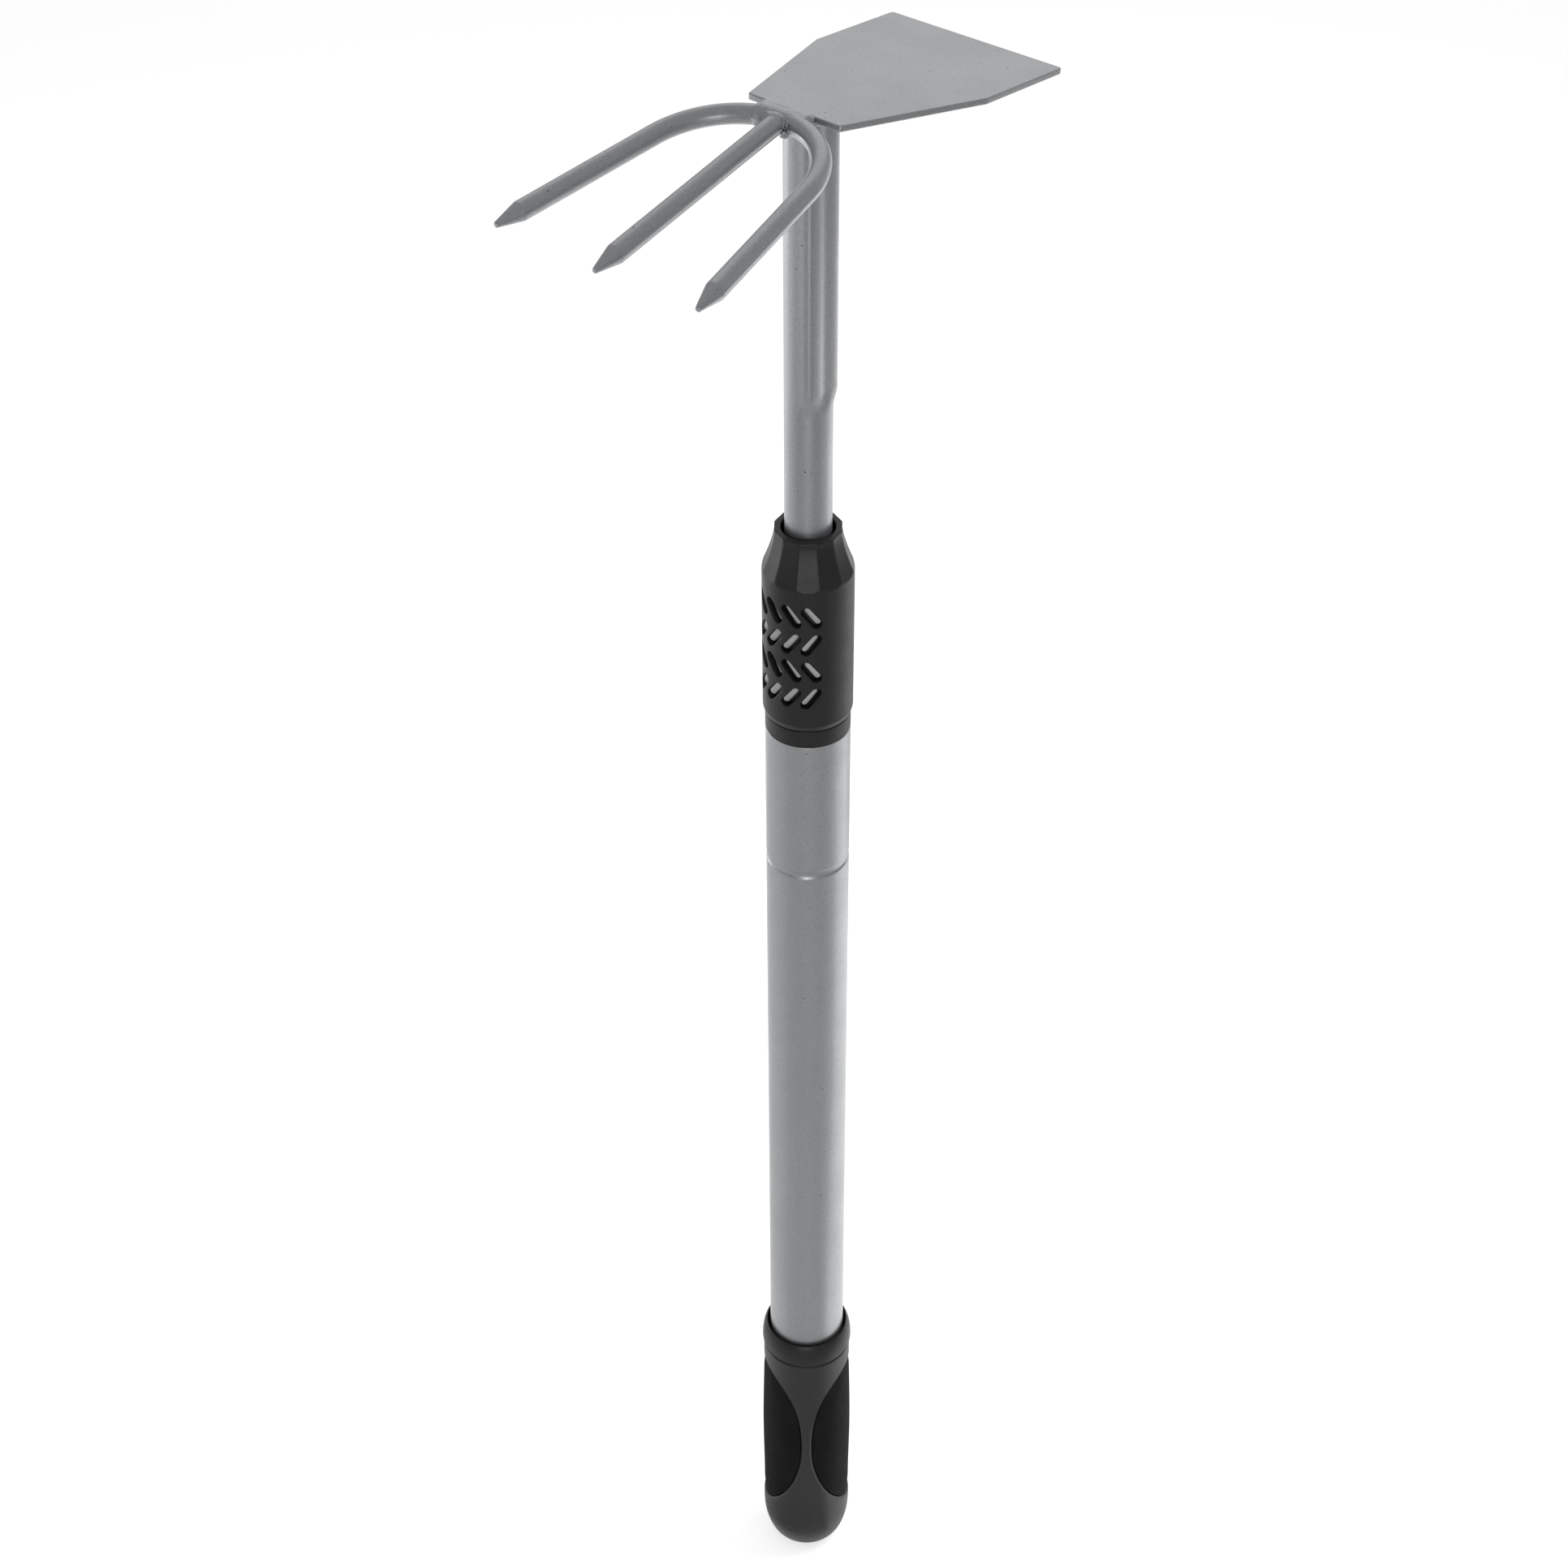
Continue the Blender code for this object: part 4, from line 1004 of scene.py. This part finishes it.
def add_curved_cap(shape, ring, columns=24):
    """Close a ring of points that is symmetric about its middle with rows that follow the curve."""
    half = len(ring) // 2
    rows = [[ring[0]] * (columns + 1)]
    for i in range(1, half):
        right = ring[i]
        left = ring[-i]
        start = math.atan2(left.co.y, left.co.x)
        span = (math.atan2(right.co.y, right.co.x) - start) % (2 * math.pi)
        reach = math.hypot(right.co.x, right.co.y)
        row = [left]
        for k in range(1, columns):
            angle = start + span * k / columns
            row.append(shape.verts.new(polar(reach, angle, right.co.z)))
        rows.append(row + [right])
    rows.append([ring[half]] * (columns + 1))
    for lower, upper in zip(rows, rows[1:]):
        for k in range(columns):
            corners = list(dict.fromkeys((lower[k], lower[k + 1], upper[k + 1], upper[k])))
            if len(corners) > 2:
                shape.faces.new(corners)


def grip_cover():
    """Grip skin with a closed end and a window on each side, with rolled lips."""
    inner = [(0.0, 0.0087), (0.0156, 0.0087)]
    outline = inner + grip_outline() + [(0.0, 0.0)]
    cover = lathe("grip_skin", outline, 240, [SKIN])
    shape = bmesh.new()
    levels = rim_levels(0.0150, GRIP_RADIUS - 0.00005, WINDOW_LIP, GRIP_RADIUS + 0.001, 66, 22, 8)
    for side in range(2):
        add_window_cutter(shape, WINDOW_AZIMUTH + math.pi * side, levels)
    cut(cover, mesh_from(shape, "windows"))
    even_normals(cover)
    finish_piece(cover, "handle", "grip_black", "grip_cover")


def grip_panel(name, azimuth, node):
    """Rubber panel in a window, with fine ribs across it and a rolled edge."""
    low = WINDOW_BOTTOM + PANEL_MARGIN
    high = WINDOW_TOP - PANEL_MARGIN
    rows = int((high - low) / RIB_PITCH * 8)
    columns = 56
    points = []
    for row in range(rows + 1):
        height = low + (high - low) * row / rows
        half = max(window_half((height - WINDOW_MIDDLE) / WINDOW_HALF) - PANEL_MARGIN, 0.0002)
        for column in range(columns + 1):
            side = 2 * column / columns - 1
            side = math.copysign(1 - (1 - abs(side)) ** 1.6, side)
            edge = min(half * (1 - abs(side)), height - low, high - height)
            wave = 0.5 + 0.5 * math.cos(2 * math.pi * height / RIB_PITCH)
            rib = RIB_HEIGHT * wave * eased(edge / 0.0012)
            fall = 0.0004 * (1 - eased(edge / 0.0007)) ** 2
            radius = grip_radius(height) - 0.0006 + 0.0005 * eased(edge / 0.009) + rib - fall
            angle = azimuth + half * side / GRIP_RADIUS
            points.append(polar(radius, angle, height))
    front = len(points)
    for x, y, z in points[:]:
        scale = PANEL_BACK / math.hypot(x, y)
        points.append((x * scale, y * scale, z))
    faces = []
    width = columns + 1
    for row in range(rows):
        for column in range(columns):
            a = row * width + column
            faces.append((a, a + 1, a + width + 1, a + width))
            faces.append((front + a, front + a + width, front + a + width + 1, front + a + 1))
    border = list(range(width)) + [row * width + columns for row in range(1, rows + 1)]
    border += list(range(rows * width + columns - 1, rows * width - 1, -1))
    border += [row * width for row in range(rows - 1, 0, -1)]
    for i, a in enumerate(border):
        b = border[(i + 1) % len(border)]
        faces.append((a, front + a, front + b, b))
    piece = add_mesh(name, points, faces, [RUBBER], math.radians(60))
    finish_piece(piece, "handle", "panel_rubber", node)


def grip_ring():
    """Rounded black ring at the top of the grip."""
    crown = [(0.0143, 0.1205), (0.0148, 0.1212), (0.0149, 0.1238), (0.0151, 0.12435)]
    for i in range(3, 13):
        angle = math.pi / 2 * (1 - i / 12)
        crown.append((0.0143 + 0.00276 * math.cos(angle), 0.1162 + 0.0087 * math.sin(angle)))
    foot = [(0.01706, 0.1162), (0.01706, 0.1150), (0.0143, 0.1150)]
    foot = rounded(foot, [0.0, 0.0005, 0.0], 4, closed=False)
    piece = lathe("grip_ring_skin", crown + foot, 160, [PLASTIC])
    even_normals(piece)
    finish_piece(piece, "handle", "black_plastic", "grip_ring")


def dress_inner_nodes():
    """Better finishes for the inner pieces, whose shapes stay as they are."""
    finishes = {
        "grip_base": PLASTIC,
        "tube_end_plug": PLASTIC,
        "collet": NATURAL_PLASTIC,
        "guide_bush": NATURAL_PLASTIC,
        "bush_stop_ring": STEEL,
    }
    for name, material in finishes.items():
        node = frame["nodes"][name]
        for slot in node.material_slots:
            slot.material = material


# Studio

# Sky: where the glow is and how bright the surroundings and the glow are
GLOW_TOWARDS = (0.70, 0.51, 0.50)
GLOW_EDGE = 0.80
GLOW_CORE = 0.97
SKY_GREY = 0.36
GLOW_GREY = 0.84

# Floor cards, with azimuths in degrees from the camera's: rows of (distance, left azimuth, right
# azimuth), the grey of each sector up to its azimuth, and the corners of the card behind
CAMERA_AZIMUTH = -140.2
FLOOR_RADIUS = 200.0
CARD_HEIGHT = 0.001
CARD_EDGES = [
    (0.02, -150, 42), (0.06, -150, 46), (0.16, -150, 62), (0.28, -150, 82),
    (0.5, -150, 86), (0.58, -150, 72), (0.65, -125, 97), (0.8, -125, 99),
    (1.2, -70, 118), (3.0, -50, 125), (10.0, -50, 125),
]
CARD_GREYS = [(-62, 0.71), (-30, 0.57), (25, 0.485), (62, 0.405), (180, 0.46)]
BACK_CARD = [(130, 0.45), (165, 0.45), (165, 0.80), (130, 0.80)]


def backdrop_material(name, colour, top_up):
    """Pale matt backdrop that the camera and mirror-like rays see as white, with soft shadows."""
    material = bpy.data.materials.new(name)
    material.use_nodes = True
    tree = material.node_tree
    tree.nodes.clear()
    rays = add_node(tree, "LightPath").outputs
    total = rays["Is Camera Ray"]
    for ray in ("Is Glossy Ray", "Is Transmission Ray"):
        total = add_node(tree, "Math", {0: total, 1: rays[ray]}, operation="ADD").outputs[0]
    strength = add_node(tree, "Math", {0: total}, operation="MULTIPLY")
    strength.inputs[1].default_value = top_up
    glow = add_node(tree, "Emission", {"Strength": strength.outputs[0]})
    matt = add_node(tree, "BsdfDiffuse", Color=colour)
    both = add_node(tree, "AddShader", {0: matt.outputs[0], 1: glow.outputs[0]})
    add_node(tree, "OutputMaterial", {"Surface": both.outputs[0]})
    return material


def floor():
    """Pale floor that the tool stands on."""
    shape = bmesh.new()
    bmesh.ops.create_circle(shape, cap_ends=True, segments=96, radius=FLOOR_RADIUS)
    sheet = mesh_from(shape, "floor")
    sheet.data.materials.append(backdrop_material("floor", (0.42, 0.42, 0.42, 1.0), 0.68))
    sheet.location.z = -0.0002


def sky():
    """Studio surroundings: grey, with a soft pale glow behind the tool."""
    world = bpy.data.worlds.new("studio")
    bpy.context.scene.world = world
    world.use_nodes = True
    tree = world.node_tree
    background = tree.nodes["Background"]
    place = add_node(tree, "TexCoord").outputs["Generated"]
    towards = add_node(tree, "VectorMath", {0: place}, operation="DOT_PRODUCT")
    towards.inputs[1].default_value = Vector(GLOW_TOWARDS).normalized()
    links = {"Value": towards.outputs["Value"]}
    fade = add_node(tree, "MapRange", links, interpolation_type="SMOOTHSTEP")
    set_range(fade, GLOW_EDGE, GLOW_CORE, SKY_GREY, GLOW_GREY)
    tree.links.new(fade.outputs["Result"], background.inputs["Color"])


def lamp(name, place, target, size, power, mirrored=True):
    """Soft rectangular lamp that points at a target."""
    light = bpy.data.lights.new(name, "AREA")
    light.shape = "RECTANGLE"
    light.size, light.size_y = size
    light.energy = power
    item = add_object(name, light)
    item.location = place
    item.visible_glossy = mirrored
    direction = Vector(target) - Vector(place)
    item.rotation_euler = direction.to_track_quat("-Z", "Y").to_euler()


def around(azimuth, distance, height=0.0):
    """Place at an angle in degrees to the right of the camera, seen from the tool."""
    return polar(distance, math.radians(azimuth + CAMERA_AZIMUTH), height)


def lights():
    """Soft lamps round the tool and above it; the last value says if mirrors show the lamp."""
    lamp("right_strip", around(125, 1.3, 0.30), (0.0, 0.0, 0.25), (0.35, 0.5), 4.0, False)
    lamp("right_floor_lamp", around(116, 0.55, 0.75), around(120, 0.42), (0.5, 0.5), 5.5, False)
    lamp("left_strip", around(-118, 1.4, 0.35), (0.0, 0.0, 0.3), (0.5, 0.7), 3.0)
    lamp("front_lamp", around(-2, 1.5, 0.50), (0.0, 0.0, 0.46), (0.30, 0.7), 3.6)
    lamp("overhead", (0.0, 0.0, 2.2), (0.0, 0.0, 0.0), (3.0, 3.0), 30.0, False)


def dark_card():
    """Grey cards on the floor, in front of the tool and behind it, that only reflections show."""
    count = 48
    shape = bmesh.new()
    rows = []
    for distance, left, right in CARD_EDGES:
        angles = [left + (right - left) * i / count for i in range(count + 1)]
        rows.append([shape.verts.new(around(angle, distance, CARD_HEIGHT)) for angle in angles])
    for near, far, (_, left, right) in zip(rows, rows[1:], CARD_EDGES[1:]):
        for i in range(count):
            face = shape.faces.new((near[i], near[i + 1], far[i + 1], far[i]))
            middle = left + (right - left) * (i + 0.5) / count
            face.material_index = [middle < limit for limit, grey in CARD_GREYS].index(True)
    corners = [shape.verts.new(around(*spot, CARD_HEIGHT)) for spot in BACK_CARD]
    shape.faces.new(corners).material_index = len(CARD_GREYS) - 1
    card = mesh_from(shape, "dark_card")
    for i, (limit, grey) in enumerate(CARD_GREYS):
        card.data.materials.append(Recipe(f"card_{i + 1}", (grey, grey, grey), 1.0).material)
    card.visible_camera = card.visible_diffuse = card.visible_shadow = False


def camera():
    """Camera at the photograph's place, angle and lens."""
    azimuth = math.radians(-49.595)
    pitch = math.radians(38.10)
    roll = math.radians(-0.255)
    right = Vector((math.cos(azimuth), math.sin(azimuth), 0.0))
    level = Vector((-math.sin(azimuth), math.cos(azimuth), 0.0))
    ahead = level * math.cos(pitch) - Vector((0.0, 0.0, math.sin(pitch)))
    up = right.cross(ahead)
    across = right * math.cos(roll) + up * math.sin(roll)
    up = up * math.cos(roll) - right * math.sin(roll)
    lens = bpy.data.cameras.new("camera")
    lens.lens = 66.06
    lens.sensor_width = 36.0
    lens.clip_start = 0.01
    lens.clip_end = 400.0
    item = add_object("camera", lens)
    matrix = Matrix((across, up, -ahead)).transposed().to_4x4()
    matrix.translation = (-0.57727, -0.48103, 0.9764)
    item.matrix_world = matrix
    bpy.context.scene.camera = item


def build():
    """Make the dressed tool and the studio round it."""
    bpy.context.scene.view_settings.view_transform = "Standard"
    hoe_blade()
    tines()
    welds()
    upper_tube()
    collar()
    lock_nut()
    lock_body()
    lower_tube()
    grip_cover()
    grip_panel("grip_panel_right_skin", WINDOW_AZIMUTH, "grip_panel_right")
    grip_panel("grip_panel_left_skin", WINDOW_AZIMUTH + math.pi, "grip_panel_left")
    grip_ring()
    dress_inner_nodes()
    floor()
    dark_card()
    sky()
    lights()
    camera()


build()
bpy.context.view_layer.update()
